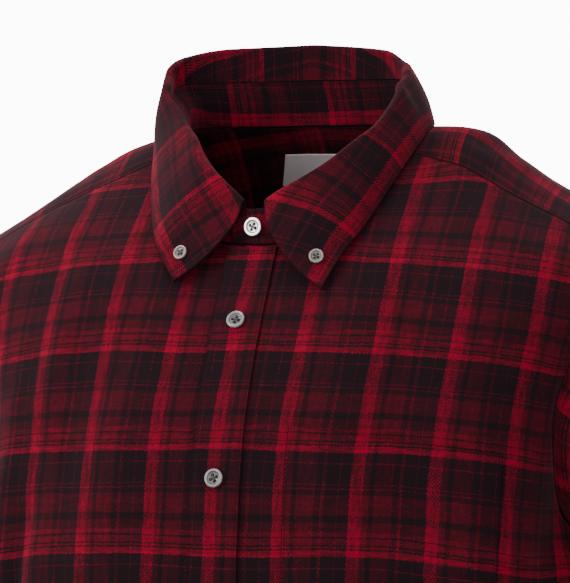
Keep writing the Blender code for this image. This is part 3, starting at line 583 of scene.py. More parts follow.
def cuff_grid():
    """A band that starts outside itself and ends inside, below the sleeve's last ring."""
    columns = []
    for degrees in np.linspace(CUFF_START, CUFF_START + 360 + CUFF_OVERLAP, CUFF_POINTS + 1)[::-1]:
        turn = math.radians(degrees)
        inside = ease((CUFF_START + CUFF_STEP_FROM - degrees) / CUFF_STEP_TURN) * BAND_STEP
        top = sleeve_ring(1, turn)
        middle = (sleeve_ring(1, 0) + sleeve_ring(1, math.pi)) / 2
        out = unit(top - middle)
        column = []
        for part in np.linspace(0, 1, CUFF_ROWS + 1):
            column.append(top - out * (inside + CUFF_TAPER * part) - (0, 0, CUFF_GAP + CUFF_HEIGHT * part))
        columns.append(column)
    return np.array(columns).transpose(1, 0, 2)


cuff = cuff_grid()
cuff_threads = np.stack([arc_down(cuff), arc_across(cuff, 0)], -1) * MM
cuff_left = np.concatenate([cuff, cuff_threads], axis=-1)
cuff_right = mirrored(cuff_left)
print("Cuff grid", cuff.shape[:2])

# %% [markdown]
# ## The collar
#
# The stand is a band that stands on the neckline and laps over itself at the front. The leaf starts on top of
# the stand, rolls over and falls to its outer edge, which the tables place, one for each half, because a soft
# collar never lies evenly. Both are cut with their threads along the band, so the plaid lies across them a
# quarter turn from the fronts.

# %% Tables of the collar
STAND_ROWS = 2
STAND_LIFT = 0.4  # its lower edge above the neckline
# part, height, lean
STAND = ((0.0, 21, 1.0), (0.25, 24.5, 3.0), (0.57, 27, 6.0), (1.0, 28, 4.5))
# How far the stand's top edge sways to the left, by the part of the whole neckline
STAND_SWAY = (
    (0.00, 0),
    (0.27, 2),
    (0.32, -2),
    (0.36, -3),
    (0.40, 1),
    (0.44, 0),
    (0.50, -3),
    (0.56, -8),
    (0.60, -11),
    (0.64, -13),
    (0.68, -17),
    (0.72, -16),
    (0.78, -2),
    (0.85, 5),
    (0.93, 4),
    (0.985, 0),
    (1.00, 0),
)
STAND_INSET = 0.4  # its wall's middle inwards from the neckline
STAND_OVERLAP = 14  # how far each end passes the centre
STAND_CORNER, STAND_CORNER_DROP = 9, 0.3  # length over which an end grows lower, and by what part
STAND_STEP_RUN = 30  # length over which the inner end steps in
LEAF_OPENING = 7.5  # from the centre to the leaf's front edge
LEAF_ROLL, LEAF_GAP = 2.0, 0.25  # radius of the roll, and the space over the stand
LEAF_ROLL_TURNS = (0, 0.9, 1.7, 2.5)  # radians round the roll
LEAF_FALL_STEPS = 5
LEAF_BOW = 2.0  # how far its fall bulges outwards
LEAF_FRONT_BOW, LEAF_FRONT_REACH = 11, 0.14  # its front edge curves in towards the centre
LEAF_FRONT_ROUND = 0.7  # under 1, that curve is fuller
NECK_TANGENT = 2  # half of the length over which the neckline's direction is taken
# part, rise, edge_x, edge_y, edge_z
LEAF_LEFT = (
    (0.03, 3.0, 48.5, -96, -99.5),
    (0.12, 12.5, 56.5, -84, -79),
    (0.25, 13.0, 65, -67, -62),
    (0.38, 9.5, 73, -44.5, -39),
    (0.50, 7.5, 80, -18, -16),
    (0.59, 6.5, 83, 4, -3),
    (0.70, 9.5, 78, 23, 1),
    (0.80, 16.5, 60, 38, 0),
    (0.90, 19, 32, 48, -6),
    (1.00, 20.5, 0, 51.5, -9),
)
LEAF_RIGHT = (
    (0.03, 3.5, -43.5, -96, -94.5),
    (0.12, 15.0, -57, -84, -78),
    (0.25, 16.5, -68, -67, -62),
    (0.38, 12.0, -78, -44.5, -39.5),
    (0.50, 8.5, -87, -18, -17),
    (0.59, 9.5, -91, 4, -4),
    (0.70, 16.0, -85, 23, 0),
    (0.80, 19.5, -65, 38, 0),
    (0.90, 20, -35, 48, -6),
    (1.00, 20.5, 0, 51.5, -9),
)

# %% The neckline as one long line
class Neckline:
    """The whole neckline measured from the front centre, by the wearer's left, round to the centre again."""

    def __init__(self):
        half = np.array([neck_point(a) for a in np.linspace(0, 180, CURVE_STEPS)])
        self.points = np.concatenate([half, half[-2::-1] * (-1, 1, 1)])
        steps = np.linalg.norm(np.diff(self.points, axis=0), axis=1)
        self.runs = np.concatenate([[0], np.cumsum(steps)])
        self.length = self.runs[-1]

    def run_at(self, angle):
        return float(np.interp(angle, np.linspace(0, 180, CURVE_STEPS), self.runs[:CURVE_STEPS]))

    def at(self, run):
        return np.array([np.interp(run % self.length, self.runs, self.points[:, i]) for i in range(3)])

    def outward(self, run):
        tangent = self.at(run + NECK_TANGENT) - self.at(run - NECK_TANGENT)
        return unit(np.array([-tangent[1], tangent[0], 0])) * -1

    def part(self, run):
        return min(abs(run), abs(self.length - run)) / (self.length / 2)

    def step(self, run):
        """How far inside the right front end lies."""
        return ease((run - (self.length - STAND_OVERLAP - STAND_STEP_RUN)) / STAND_STEP_RUN) * BAND_STEP

    def stand(self, run, share):
        """A point of the stand, a share of the way up."""
        height, lean = along(STAND, self.part(run))
        end = min(run + STAND_OVERLAP, self.length + STAND_OVERLAP - run)
        height *= 1 - STAND_CORNER_DROP * max(0.0, 1 - end / STAND_CORNER) ** 2
        back = STAND_INSET + lean * share + self.step(run)
        sway = along(STAND_SWAY, min(max(run / self.length, 0.0), 1.0))[0] * share**2
        return self.at(run) + (sway, 0, STAND_LIFT + height * share) - self.outward(run) * back


# %% Columns of the stand and the leaf
def neck_angles(corner):
    """Angles of the places where the panels' points lie on the neckline, from the placket's fold line."""
    near = placket_angle()
    front = evenly(neck_point, near, corner, NECK_COLUMNS)
    back = evenly(neck_point, corner, 180, BACK_HALF_COLUMNS + FRONT_YOKE_INDEX - BACK_YOKE_INDEX)
    return [*front, *back[1:]]


def stand_grid(neck, runs):
    shares = np.linspace(1, 0, STAND_ROWS + 1)
    return np.array([[neck.stand(run, share) for run in runs] for share in shares])


def leaf_column(neck, run):
    """From the leaf's outer edge up its fall, over the roll and down to the stand."""
    rise, *edge = along(LEAF_LEFT if run < neck.length / 2 else LEAF_RIGHT, neck.part(run))
    out = neck.outward(run)
    foot = neck.stand(run, 1) + (0, 0, LEAF_GAP)
    top = foot + (0, 0, rise - LEAF_ROLL)
    roll = [
        top + out * LEAF_ROLL * (1 - math.cos(a)) + (0, 0, LEAF_ROLL * math.sin(a)) for a in LEAF_ROLL_TURNS
    ]
    inwards = np.array([-math.copysign(LEAF_FRONT_BOW, edge[0]), 0, 0])
    inwards *= max(0.0, 1 - neck.part(run) / LEAF_FRONT_REACH)
    fall = []
    for part in np.linspace(0, 1, LEAF_FALL_STEPS + 1)[1:]:
        curve = max(0.0, math.sin(math.pi * part))
        place = roll[-1] * (1 - part) + np.array(edge) * part
        fall.append(place + out * LEAF_BOW * curve + inwards * curve**LEAF_FRONT_ROUND)
    return [*fall[::-1], *roll[::-1], foot]


def leaf_grid(neck, runs):
    return np.array([leaf_column(neck, run) for run in runs]).transpose(1, 0, 2)


# %% The stand and the leaf
neck = Neckline()
half_runs = [LEAF_OPENING, *(neck.run_at(a) for a in neck_angles(corner))]
leaf_runs = [*half_runs, *(neck.length - run for run in half_runs[-2::-1])]
stand_runs = [-STAND_OVERLAP, 0, *leaf_runs, neck.length, neck.length + STAND_OVERLAP]
stand = stand_grid(neck, stand_runs)
leaf = leaf_grid(neck, leaf_runs)

# %% Threads along the collar
STAND_BAR, STAND_CURVE = 20.6, 20.6  # where the stand's bright bar lies at the back, and how far it climbs
BEHIND_REACH, BEHIND_FADE = 120, 80  # round the back, the band's rows keep their own lengths


def cut_straight(grid, middle):
    """Cloth of a band cut lengthwise: across the threads from its first row, along them from its middle."""
    edge = grid[0]
    way = unit(np.gradient(edge, axis=0))
    arcs = arc_across(grid, middle)
    steps = np.diff(grid, axis=0)
    with_edge = (steps * way).sum(-1)
    across_edge = np.sqrt(np.maximum((steps**2).sum(-1) - with_edge**2, 0))
    across = np.concatenate([0 * with_edge[:1], np.cumsum(across_edge, axis=0)])
    down = arcs[0] + np.concatenate([0 * with_edge[:1], np.cumsum(with_edge, axis=0)])
    behind = np.clip((BEHIND_REACH - np.abs(arcs[0])) / BEHIND_FADE, 0, 1)
    down = down + (arcs - down) * behind
    return np.concatenate([grid, np.stack([across, down], -1) * MM], axis=-1)


stand = cut_straight(stand, len(stand_runs) // 2)
climb = (stand[..., 4] / stand[0, -1, 4]) ** 2 * STAND_CURVE  # the stand is cut on a curve
stand[..., 3] += (climb - STAND_BAR) * MM
leaf = cut_straight(leaf, len(leaf_runs) // 2) * (1, 1, 1, -1, -1)  # cut with its cloth turned half round
print("Neckline", round(neck.length), "mm; stand", stand.shape[:2], "leaf", leaf.shape[:2])

# %% [markdown]
# ## From a coarse grid to soft cloth
#
# The grids are coarse, a point every few centimetres. Cloth needs a point every few millimetres, so smooth
# curves are drawn through the rows and then through the columns, and the cloth numbers ride along with them.
# On the dense grid come what makes it cloth: creases drawn one by one, and a slight unevenness everywhere
# that fades out at the seams, so neighbours still meet there.

# %% Smooth curves through a grid
def steps_between(count, each):
    """Fractional places along an axis: each interval is cut into its own number of steps."""
    cuts = [each] * (count - 1) if isinstance(each, int) else each
    places = [i + s / n for i, n in enumerate(cuts) for s in range(n)]
    return np.array([*places, count - 1])


def through(values, places, closed):
    """Values at fractional places along the first axis, on a smooth curve through them all."""
    count = len(values)
    first = np.minimum(places.astype(int), count - 2)
    t = (places - first).reshape(-1, *[1] * (values.ndim - 1))
    before = values[-2] if closed else 2 * values[0] - values[1]
    after = values[1] if closed else 2 * values[-1] - values[-2]
    longer = np.concatenate([before[None], values, after[None]])
    a, b, c, d = (longer[first + i] for i in range(4))
    return b + 0.5 * t * (c - a + t * (2 * a - 5 * b + 4 * c - d + t * (3 * (b - c) + d - a)))


# %% The dense cloth of a panel
NEAR = 1e-6  # a dense row this near to a cut is left to the cut


class Cloth:
    """A panel's dense grid: points, their cloth coordinates, and the coarse rows and columns they lie at."""

    def __init__(self, grid, rows, columns, closed=False):
        self.rows = steps_between(grid.shape[0], rows)
        self.columns = steps_between(grid.shape[1], columns)
        self.closed = closed
        dense = through(grid, self.rows, closed=False)
        if closed:
            turn = dense[:, -1:] - dense[:, :1]
            share = np.arange(grid.shape[1])[None, :, None] / (grid.shape[1] - 1)
            level = dense - turn * share
            dense = through(level.swapaxes(0, 1), self.columns, closed=True).swapaxes(0, 1)
            dense = dense + turn * (self.columns / (grid.shape[1] - 1))[None, :, None]
        else:
            dense = through(dense.swapaxes(0, 1), self.columns, closed=False).swapaxes(0, 1)
        self.points, self.threads = dense[..., :3], dense[..., 3:]
        self.outward = None  # only a part cut from another cloth keeps directions of its own

    def normals(self):
        if not self.closed:
            return normals_of(self.points, wrap=False)
        ways = normals_of(self.points[:, :-1], wrap=True)
        return np.concatenate([ways, ways[:, :1]], axis=1)

    def edge_distance(self, edges):
        """Distance from the nearest of the named edges, and the length along it, in millimetres."""
        across, down = arc_across(self.points, 0), arc_down(self.points)
        reach = {
            "top": (down, across),
            "bottom": (down[-1:] - down, across),
            "first": (across, down),
            "last": (across[:, -1:] - across, down),
        }
        near = np.stack([reach[edge][0] for edge in edges])
        along_edge = np.stack([reach[edge][1] for edge in edges])
        pick = near.argmin(axis=0)[None]
        return np.take_along_axis(near, pick, 0)[0], np.take_along_axis(along_edge, pick, 0)[0]

    def part(self, rows, columns):
        """The part of the cloth between coarse rows and columns, as dense as the cloth itself."""
        cut = object.__new__(Cloth)
        cut.closed = False
        inner_rows = [r for r in self.rows if rows[0] + NEAR < r < rows[1] - NEAR]
        inner_columns = [c for c in self.columns if columns[0] + NEAR < c < columns[1] - NEAR]
        cut.rows = np.array([rows[0], *inner_rows, rows[1]])
        cut.columns = np.array([columns[0], *inner_columns, columns[1]])
        j = np.interp(cut.rows, self.rows, np.arange(len(self.rows)))
        k = np.interp(cut.columns, self.columns, np.arange(len(self.columns)))
        j0 = np.minimum(j.astype(int), len(self.rows) - 2)
        k0 = np.minimum(k.astype(int), len(self.columns) - 2)
        v, u = (j - j0)[:, None, None], (k - k0)[None, :, None]

        def sampled(values):
            low = values[j0][:, k0] * (1 - u) + values[j0][:, k0 + 1] * u
            high = values[j0 + 1][:, k0] * (1 - u) + values[j0 + 1][:, k0 + 1] * u
            return low * (1 - v) + high * v

        cut.points = sampled(self.points)
        cut.threads = sampled(self.threads)
        cut.outward = unit(sampled(self.normals()))
        return cut

    def raised(self, height):
        """The cloth moved outwards by one height, or by its own height at each point."""
        ways = self.normals() if self.outward is None else self.outward
        self.points = self.points + ways * np.asarray(height)[..., None]
        return self


# %% Fine folds
# Folds of the cloth: the two ends seen from their side, which is -1 for the front; a minus height is a dip
# side, x0, z0, x1, z1, width, height
FINE_FOLDS = (
    (-1, 196, -105, 180, -300, 9, -9.0),
    (-1, 171, -150, 160, -330, 9, 3.0),
    (-1, -150, -195, -172, -330, 9, 5.5),
    (-1, -128, -215, -146, -330, 8, -4.5),
    (-1, -112, -60, -120, -200, 12, 2.0),
    (-1, -60, -120, -75, -300, 16, 1.6),
    (-1, -95, -110, -105, -290, 14, -1.6),
    (-1, 60, -110, 78, -320, 15, 1.6),
    (-1, 100, -60, 112, -300, 15, -1.8),
    (-1, 132, -60, 138, -260, 13, 1.8),
    (-1, 28, -130, 24, -300, 9, -1.2),
    (1, -60, -120, -80, -420, 22, 3.0),
    (1, 70, -120, 60, -420, 22, -3.0),
)
TORSO_FLATNESS = 2.2  # how much wider than deep the torso is, which turns the folds to the front and back
FOLD_TURN_Y = 35.0  # depth over which a front or back fold fades in


def folded(cloth):
    """Adds the fine folds, all in one direction at any one place, so that neighbours still meet."""
    x, y, z = (cloth.points[..., i] for i in range(3))
    away = unit(np.stack([x / TORSO_FLATNESS, y, 0 * z], -1))
    height = np.zeros(x.shape)
    for side, x0, z0, x1, z1, width, rise in FINE_FOLDS:
        run = np.array([x1 - x0, z1 - z0], float)
        length = np.linalg.norm(run)
        part = np.clip(((x - x0) * run[0] + (z - z0) * run[1]) / length**2, 0, 1)
        off = ((x - x0) * run[1] - (z - z0) * run[0]) / length
        facing = np.clip(side * y / FOLD_TURN_Y, 0, 1)
        height = height + rise * facing * np.sin(np.pi * part) * np.exp(-((off / width) ** 2))
    cloth.points = cloth.points + away * height[..., None]
    return cloth


# %% Wandering threads
WANDER = ((75.0, 1.7), (28.0, 0.6))  # size of the threads' bends, and how far sideways they reach
WANDER_APART = 300  # between the noise for one cloth direction and that for the other


def wandering(cloth):
    """Threads that aren't quite straight, as in cloth that has been washed and worn."""
    shift = np.zeros(cloth.threads.shape)
    for spot in np.ndindex(shift.shape[:2]):
        place = Vector(cloth.points[spot])
        for axis in range(2):
            apart = Vector((0, 0, WANDER_APART * axis))
            shift[spot][axis] = sum(far * noise.noise((place + apart) / size) for size, far in WANDER)
    cloth.threads = cloth.threads + shift * MM
    return cloth


# %% Slight unevenness
UNEVEN = ((55.0, 0.9), (22.0, 0.35), (9.0, 0.12))  # size and height of its hills, largest first
UNEVEN_FADE = 12.0  # distance from the cloth's edges over which it comes in


def uneven(cloth, seed):
    """Slight hills and hollows, the same on every run, that fade out at the cloth's edges."""
    edges = ["top", "bottom"] if cloth.closed else ["top", "bottom", "first", "last"]
    fade = np.clip(cloth.edge_distance(edges)[0] / UNEVEN_FADE, 0, 1)
    height = np.zeros(cloth.points.shape[:2])
    for spot in np.ndindex(height.shape):
        place = Vector(cloth.points[spot])
        height[spot] = sum(h * noise.noise(place / size + Vector((seed, 0, 0))) for size, h in UNEVEN)
    return height * fade


# %% [markdown]
# ## From cloth to a piece
#
# Each piece starts from Blender's own flat grid, whose vertices are moved to the cloth's points. The grid is
# one row of quads after another, so the cloth coordinates go straight into a UV map. A second UV map holds
# the distance from the nearest sewn edge, for the stitching. Solidify gives the wall its thickness, and a
# small bevel rounds its rim, where the cloth is turned in. A sharp rim would catch the light as a thin line.

# %% Making a piece of cloth
RIM_ROUND, RIM_ANGLE, RIM_SEGMENTS = 0.35, 60, 2  # the turned edge: part of the wall, least angle, facets
TUBE_WELD = 0.02  # points closer than this are one, where a tube closes


def cloth_object(name, cloth, thickness, sewn=("top", "bottom", "first", "last")):
    """A piece of cloth with its wall, its plaid coordinates and the distances from its sewn edges."""
    rows, columns = cloth.points.shape[:2]
    built = bmesh.new()
    bmesh.ops.create_grid(built, x_segments=columns - 1, y_segments=rows - 1, size=1)
    for vertex, point in zip(built.verts, cloth.points.reshape(-1, 3)):
        vertex.co = point * MM
    bmesh.ops.reverse_faces(built, faces=built.faces)
    for face in built.faces:
        face.smooth = True
    mesh = bpy.data.meshes.new(name)
    built.to_mesh(mesh)
    built.free()

    corners = np.zeros(len(mesh.loops), int)
    mesh.loops.foreach_get("vertex_index", corners)
    distance, along_edge = cloth.edge_distance(sewn)
    maps = {"cloth": cloth.threads, "sewn": np.stack([distance, along_edge], -1) * MM}
    for title, values in maps.items():
        layer = mesh.uv_layers.new(name=title)
        layer.data.foreach_set("uv", values.reshape(-1, 2)[corners].ravel().astype(np.float32))
    if cloth.closed:
        closed = bmesh.new()
        closed.from_mesh(mesh)
        bmesh.ops.remove_doubles(closed, verts=closed.verts, dist=TUBE_WELD * MM)
        closed.to_mesh(mesh)
        closed.free()

    piece = bpy.data.objects.new(name, mesh)
    bpy.context.scene.collection.objects.link(piece)
    wall = piece.modifiers.new("wall", "SOLIDIFY")
    wall.thickness = thickness * MM
    wall.offset = 0
    rim = piece.modifiers.new("turned_edge", "BEVEL")
    rim.width = RIM_ROUND * thickness * MM
    rim.segments = RIM_SEGMENTS
    rim.limit_method = "ANGLE"
    rim.angle_limit = math.radians(RIM_ANGLE)
    rim.harden_normals = True
    area = sum(polygon.area for polygon in mesh.polygons)
    print(f"{name}: {len(mesh.vertices)} points, {area:.4f} m2 of cloth")
    return piece


# %% Room for the seams
def inward(edge, next_in, normals, wrap):
    """Unit directions from an edge's points into their piece, square to the edge and to its normals."""
    if wrap:
        run = np.roll(edge, -1, 0) - np.roll(edge, 1, 0)
    else:
        run = np.gradient(edge, axis=0)
    way = unit(np.cross(run, normals))
    return way * np.sign((way * (next_in - edge)).sum(axis=1, keepdims=True))


def drawn_back(grid, normals, wrap):
    """Grid with its edges drawn back by half a seam."""
    drawn = grid.copy()
    for edge, next_in in ((0, 1), (-1, -2)):
        drawn[edge] += inward(grid[edge], grid[next_in], normals[edge], wrap) * SEAM / 2
        if not wrap:
            ways = inward(grid[:, edge], grid[:, next_in], normals[:, edge], wrap=False)
            drawn[:, edge] += ways * SEAM / 2
    return drawn


def seamed(cloth):
    """The cloth with its edges drawn back by half a seam, so it doesn't touch its neighbours."""
    cloth.points = drawn_back(cloth.points, cloth.normals(), cloth.closed)
    return cloth


# %% [markdown]
# ## The flannel
#
# The plaid is woven, so it is made as a loom makes it: one row of colours for the warp, which runs along the
# cloth, and one for the weft, which crosses it. A twill lets each show on half of the surface, in steps of
# two threads that climb in diagonals. Red over red gives the bright crossings and red over black the dim
# bars. Maroon is red and black threads in turn. Brushing blurs the threads, and its short nap catches light
# at grazing angles, which the sheen does.

# %% The sett
WARP_REPEAT, WEFT_REPEAT = 44.7, 61.0
WARP = (  # where each colour starts, as a part of the repeat, and how red it is
    (0.0, 1.0),
    (0.165, 0.45),
    (0.25, 0.0),
    (0.315, 0.38),
    (0.55, 0.0),
    (0.634, 0.62),
    (0.645, 0.0),
    (0.660, 0.62),
    (0.671, 0.0),
    (0.844, 0.62),
    (0.855, 0.0),
)
WEFT = (
    (0.0, 0.0),
    (0.100, 0.45),
    (0.110, 0.0),
    (0.305, 0.48),
    (0.315, 0.0),
    (0.347, 0.48),
    (0.357, 0.0),
    (0.41, 0.35),
    (0.60, 0.0),
    (0.667, 0.33),
    (0.76, 0.61),
    (0.808, 0.05),
    (0.824, 0.61),
    (0.883, 0.05),
    (0.899, 0.63),
    (0.920, 0.05),
    (0.936, 0.85),
)
TWILL_ACROSS, TWILL_DOWN = 1.7, 2.7  # one repeat of the twill, in millimetres
TWILL = ((0.0, 0.0), (0.08, 1.0), (0.36, 1.0), (0.46, 0.0), (1.0, 0.0))  # where in it the warp lies on top
BLURRED = 0.55  # how much of the thread's colour the brushing spreads
RED_POWER = 1.7  # above 1, half-red threads look darker than half
FRAY, FRAY_SCALE = 1.7, 0.8  # how far brushing scatters the threads' ends in millimetres, and how finely
HEATHER, HEATHER_STRENGTH, HEATHER_SCALE = 0.12, 2.2, 0.35  # streaks of dye: slimness, strength, fineness


def srgb(*levels):
    """Colour levels from 0 to 255 as the linear values that a shader takes."""
    return tuple(((c / 255 + 0.055) / 1.055) ** 2.4 if c > 10 else c / 255 / 12.92 for c in levels)


RED, BLACK = srgb(134, 8, 38), srgb(23, 13, 17)
# the stitch thread's colour, which also paints the shade along each sewn edge
STITCH_AND_SEAM_SHADE = srgb(24, 6, 10)

# %% Node helpers
def add_node(tree, kind, sockets=(), **settings):
    """A node with its settings, and its input sockets set or linked."""
    made = tree.nodes.new(kind)
    for key, value in settings.items():
        setattr(made, key, value)
    for key, value in dict(sockets).items():
        if isinstance(value, bpy.types.NodeSocket):
            tree.links.new(value, made.inputs[key])
        else:
            made.inputs[key].default_value = value
    return made


def maths(tree, operation, *values):
    return add_node(tree, "ShaderNodeMath", dict(enumerate(values)), operation=operation).outputs[0]


def mixed(tree, share, a, b):
    """Colour a with a share of b. The node's colour sockets are numbers 6 and 7, and its result is 2."""
    made = add_node(tree, "ShaderNodeMix", data_type="RGBA")
    for index, value in ((0, share), (6, a), (7, b)):
        if isinstance(value, bpy.types.NodeSocket):
            tree.links.new(value, made.inputs[index])
        else:
            made.inputs[index].default_value = value if index == 0 else (*value, 1)
    return made.outputs[2]


# %% Noise, repeats and ramps
def noise_node(tree, place, scale, detail, **more):
    sockets = {"Vector": place, "Scale": scale, "Detail": detail, **more}
    return add_node(tree, "ShaderNodeTexNoise", sockets)


def speckle(tree, scale, detail, **more):
    """Noise from 0 to 1 that stays in its place on the piece."""
    place = add_node(tree, "ShaderNodeTexCoord").outputs["Object"]
    return noise_node(tree, place, scale, detail, **more).outputs[0]


def millimetres(tree, uv_map):
    """Both numbers of a UV map, in millimetres."""
    place = add_node(tree, "ShaderNodeUVMap", uv_map=uv_map).outputs[0]
    split = add_node(tree, "ShaderNodeSeparateXYZ", {0: place})
    return [maths(tree, "MULTIPLY", split.outputs[i], 1 / MM) for i in range(2)]


def repeats(tree, length, repeat):
    """How far along its repeat a length is, from 0 to 1."""
    return maths(tree, "FRACT", maths(tree, "DIVIDE", length, repeat))


def ramp(tree, place, stops, smooth=False):
    """Levels of grey at places from 0 to 1: steps, or slopes if smooth."""
    made = add_node(tree, "ShaderNodeValToRGB", {0: place})
    made.color_ramp.interpolation = "LINEAR" if smooth else "CONSTANT"
    elements = made.color_ramp.elements
    while len(elements) > 1:
        elements.remove(elements[-1])
    for i, (at, level) in enumerate(stops):
        element = elements[0] if i == 0 else elements.new(at)
        element.position = at
        element.color = (level, level, level, 1)
    return made.outputs[0]


# %% A new material
def new_material(name, roughness, **shader):
    """A material, its node tree and its surface shader, whose other settings are named after its sockets."""
    made = bpy.data.materials.new(name)
    made.use_nodes = True
    surface = made.node_tree.nodes["Principled BSDF"]
    surface.inputs["Roughness"].default_value = roughness
    for key, value in shader.items():
        surface.inputs[key.replace("_", " ")].default_value = value
    return made, made.node_tree, surface


# %% The woven colour
def heathered(tree, redness, across, down):
    """Threads whose dye varies in streaks, which follow these two lengths."""
    place = add_node(tree, "ShaderNodeCombineXYZ", {0: across, 1: down}).outputs[0]
    streaks = noise_node(tree, place, HEATHER_SCALE, detail=3.0, Roughness=0.7).outputs[0]
    strength = maths(tree, "MULTIPLY_ADD", streaks, HEATHER_STRENGTH, 1 - HEATHER_STRENGTH / 2)
    return maths(tree, "MULTIPLY", redness, strength)


def woven(tree):
    """How red the brushed weave is, and how far the warp lies on top."""
    across, down = millimetres(tree, "cloth")
    flat = add_node(tree, "ShaderNodeCombineXYZ", {0: across, 1: down}).outputs[0]
    hairs = noise_node(tree, flat, FRAY_SCALE, detail=2.0).outputs[1]
    hairs = add_node(tree, "ShaderNodeSeparateXYZ", {0: hairs})
    frayed_across = maths(tree, "MULTIPLY_ADD", hairs.outputs[0], FRAY, across)
    frayed_down = maths(tree, "MULTIPLY_ADD", hairs.outputs[1], FRAY, down)
    warp = ramp(tree, repeats(tree, frayed_across, WARP_REPEAT), WARP)
    weft = ramp(tree, repeats(tree, frayed_down, WEFT_REPEAT), WEFT)
    warp = heathered(tree, warp, across, maths(tree, "MULTIPLY", down, HEATHER))
    weft = heathered(tree, weft, maths(tree, "MULTIPLY", across, HEATHER), down)

    twill_across = maths(tree, "DIVIDE", frayed_across, TWILL_ACROSS)
    twill_down = maths(tree, "DIVIDE", frayed_down, TWILL_DOWN)
    diagonal = maths(tree, "FRACT", maths(tree, "ADD", twill_across, twill_down))
    over = ramp(tree, diagonal, TWILL, smooth=True)
    crisp = mixed(tree, over, weft, warp)
    average = mixed(tree, 0.5, weft, warp)
    return maths(tree, "POWER", mixed(tree, BLURRED, crisp, average), RED_POWER), over


# %% [markdown]
# ## Nap, seams and stitches
#
# Brushed cotton is never one flat colour: its dye is cloudy and its nap stands up in tiny tufts. Two noises
# do this, a slow and a fast one, and both multiply the red. The stitches could be thousands of small threads,
# but at this size a dashed line and a groove are enough. They read the map of distances from the sewn edge,
# so one function makes the material of the panels and of the doubled bands, with the row in another place.

# %% The flannel's material
DYE_SCALE, DYE_GAIN, DYE_START = 260.0, 1.0, 0.5  # of the slow noise: fineness, strength and lowest value
FUZZ_SCALE, FUZZ_GAIN, FUZZ_START = 900.0, 2.2, -0.1  # the same of the fast one
TWILL_HEIGHT, FUZZ_HEIGHT = 0.06, 0.12  # in millimetres
STITCH_LENGTH, STITCH_WIDTH, STITCH_SHARE = 2.6, 0.34, 0.74  # millimetres, and how much of it shows
STITCH_COVER, STITCH_HEIGHT = 0.85, 0.2  # how much of the cloth's colour a stitch hides, and how high it lies
GROOVE_HALF, GROOVE_DEPTH = 1.3, 0.3  # the dent along a row of stitches
SEAM_RIDGE, SEAM_RIDGE_WIDTH = 0.2, 7.0  # the folded allowance under a sewn edge
SEAM_SHADOW, SEAM_SHADE = 0.5, 0.8  # how far the seam's shadow reaches in millimetres, and how dark it is
SHEEN = 0.09  # how strongly the nap shines
BUMP = 0.7  # share of all these heights that the light sees


def flannel(name, stitch_row):
    """Flannel with a row of stitches at this distance from the sewn edge, in millimetres."""
    nap = dict(Sheen_Weight=SHEEN, Sheen_Roughness=0.4, Sheen_Tint=(1, 0.42, 0.5, 1))
    made, tree, surface = new_material(name, roughness=0.95, Specular_IOR_Level=0.06, **nap)
    redness, over = woven(tree)
    dye = maths(tree, "MULTIPLY_ADD", speckle(tree, DYE_SCALE, detail=3.0), DYE_GAIN, DYE_START)
    fuzz = speckle(tree, FUZZ_SCALE, detail=3.0, Roughness=0.7)
    grain = maths(tree, "MULTIPLY_ADD", fuzz, FUZZ_GAIN, FUZZ_START)
    redness = maths(tree, "MULTIPLY", maths(tree, "MULTIPLY", redness, dye), grain)
    colour = mixed(tree, redness, BLACK, RED)
    height = maths(tree, "MULTIPLY_ADD", over, TWILL_HEIGHT, maths(tree, "MULTIPLY", fuzz, FUZZ_HEIGHT))

    distance, along_edge = millimetres(tree, "sewn")
    folded_under = maths(tree, "LESS_THAN", distance, SEAM_RIDGE_WIDTH)
    height = maths(tree, "MULTIPLY_ADD", folded_under, SEAM_RIDGE, height)
    off = maths(tree, "ABSOLUTE", maths(tree, "SUBTRACT", distance, stitch_row))
    line = maths(tree, "LESS_THAN", off, STITCH_WIDTH / 2)
    dash = maths(tree, "LESS_THAN", repeats(tree, along_edge, STITCH_LENGTH), STITCH_SHARE)
    thread = maths(tree, "MULTIPLY", line, dash)
    colour = mixed(tree, maths(tree, "MULTIPLY", thread, STITCH_COVER), colour, STITCH_AND_SEAM_SHADE)
    dent = maths(tree, "MAXIMUM", maths(tree, "SUBTRACT", 1.0, maths(tree, "DIVIDE", off, GROOVE_HALF)), 0.0)
    height = maths(tree, "MULTIPLY_ADD", dent, -GROOVE_DEPTH, height)
    height = maths(tree, "MULTIPLY_ADD", thread, STITCH_HEIGHT, height)

    # painted shade: within SEAM_SHADOW of a sewn edge the cloth is darkened towards the stitch colour, and
    # its sheen is turned off
    shaded = maths(tree, "LESS_THAN", distance, SEAM_SHADOW)
    colour = mixed(tree, maths(tree, "MULTIPLY", shaded, SEAM_SHADE), colour, STITCH_AND_SEAM_SHADE)
    tree.links.new(colour, surface.inputs["Base Color"])
    tree.links.new(maths(tree, "MULTIPLY_ADD", shaded, -SHEEN, SHEEN), surface.inputs["Sheen Weight"])
    bump = add_node(tree, "ShaderNodeBump", {"Strength": BUMP, "Distance": MM, "Height": height})
    tree.links.new(bump.outputs[0], surface.inputs["Normal"])
    return made


PANEL_STITCHES, BAND_STITCHES = 1.6, 5.5  # where the row of stitches runs, from the edge
SEAMED_FLANNEL = flannel("flannel_seamed", PANEL_STITCHES)
BAND_FLANNEL = flannel("flannel_band", BAND_STITCHES)
print("Materials:", SEAMED_FLANNEL.name, BAND_FLANNEL.name)

# %% [markdown]
# ## The panels
#
# Each panel now becomes a piece. The cloth is shifted along its threads first, so that the plaid falls on
# each panel as the cutter laid it: a bright bar down the placket, and bars that meet across the front.

# %% Dressing a piece
def laid(grid, warp_start, weft_start):
    """The grid with its cloth shifted, so a bright warp bar and a weft band start at these places, in mm."""
    shift = np.array([0, 0, 0, warp_start, weft_start]) * MM
    return grid - shift


def dress(piece, fabric, node):
    """Gives a sheet of cloth its fabric, hangs it on its body and hides the CAD part of its node."""
    piece.data.materials.append(fabric)
    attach(piece, "root")
    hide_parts(node)


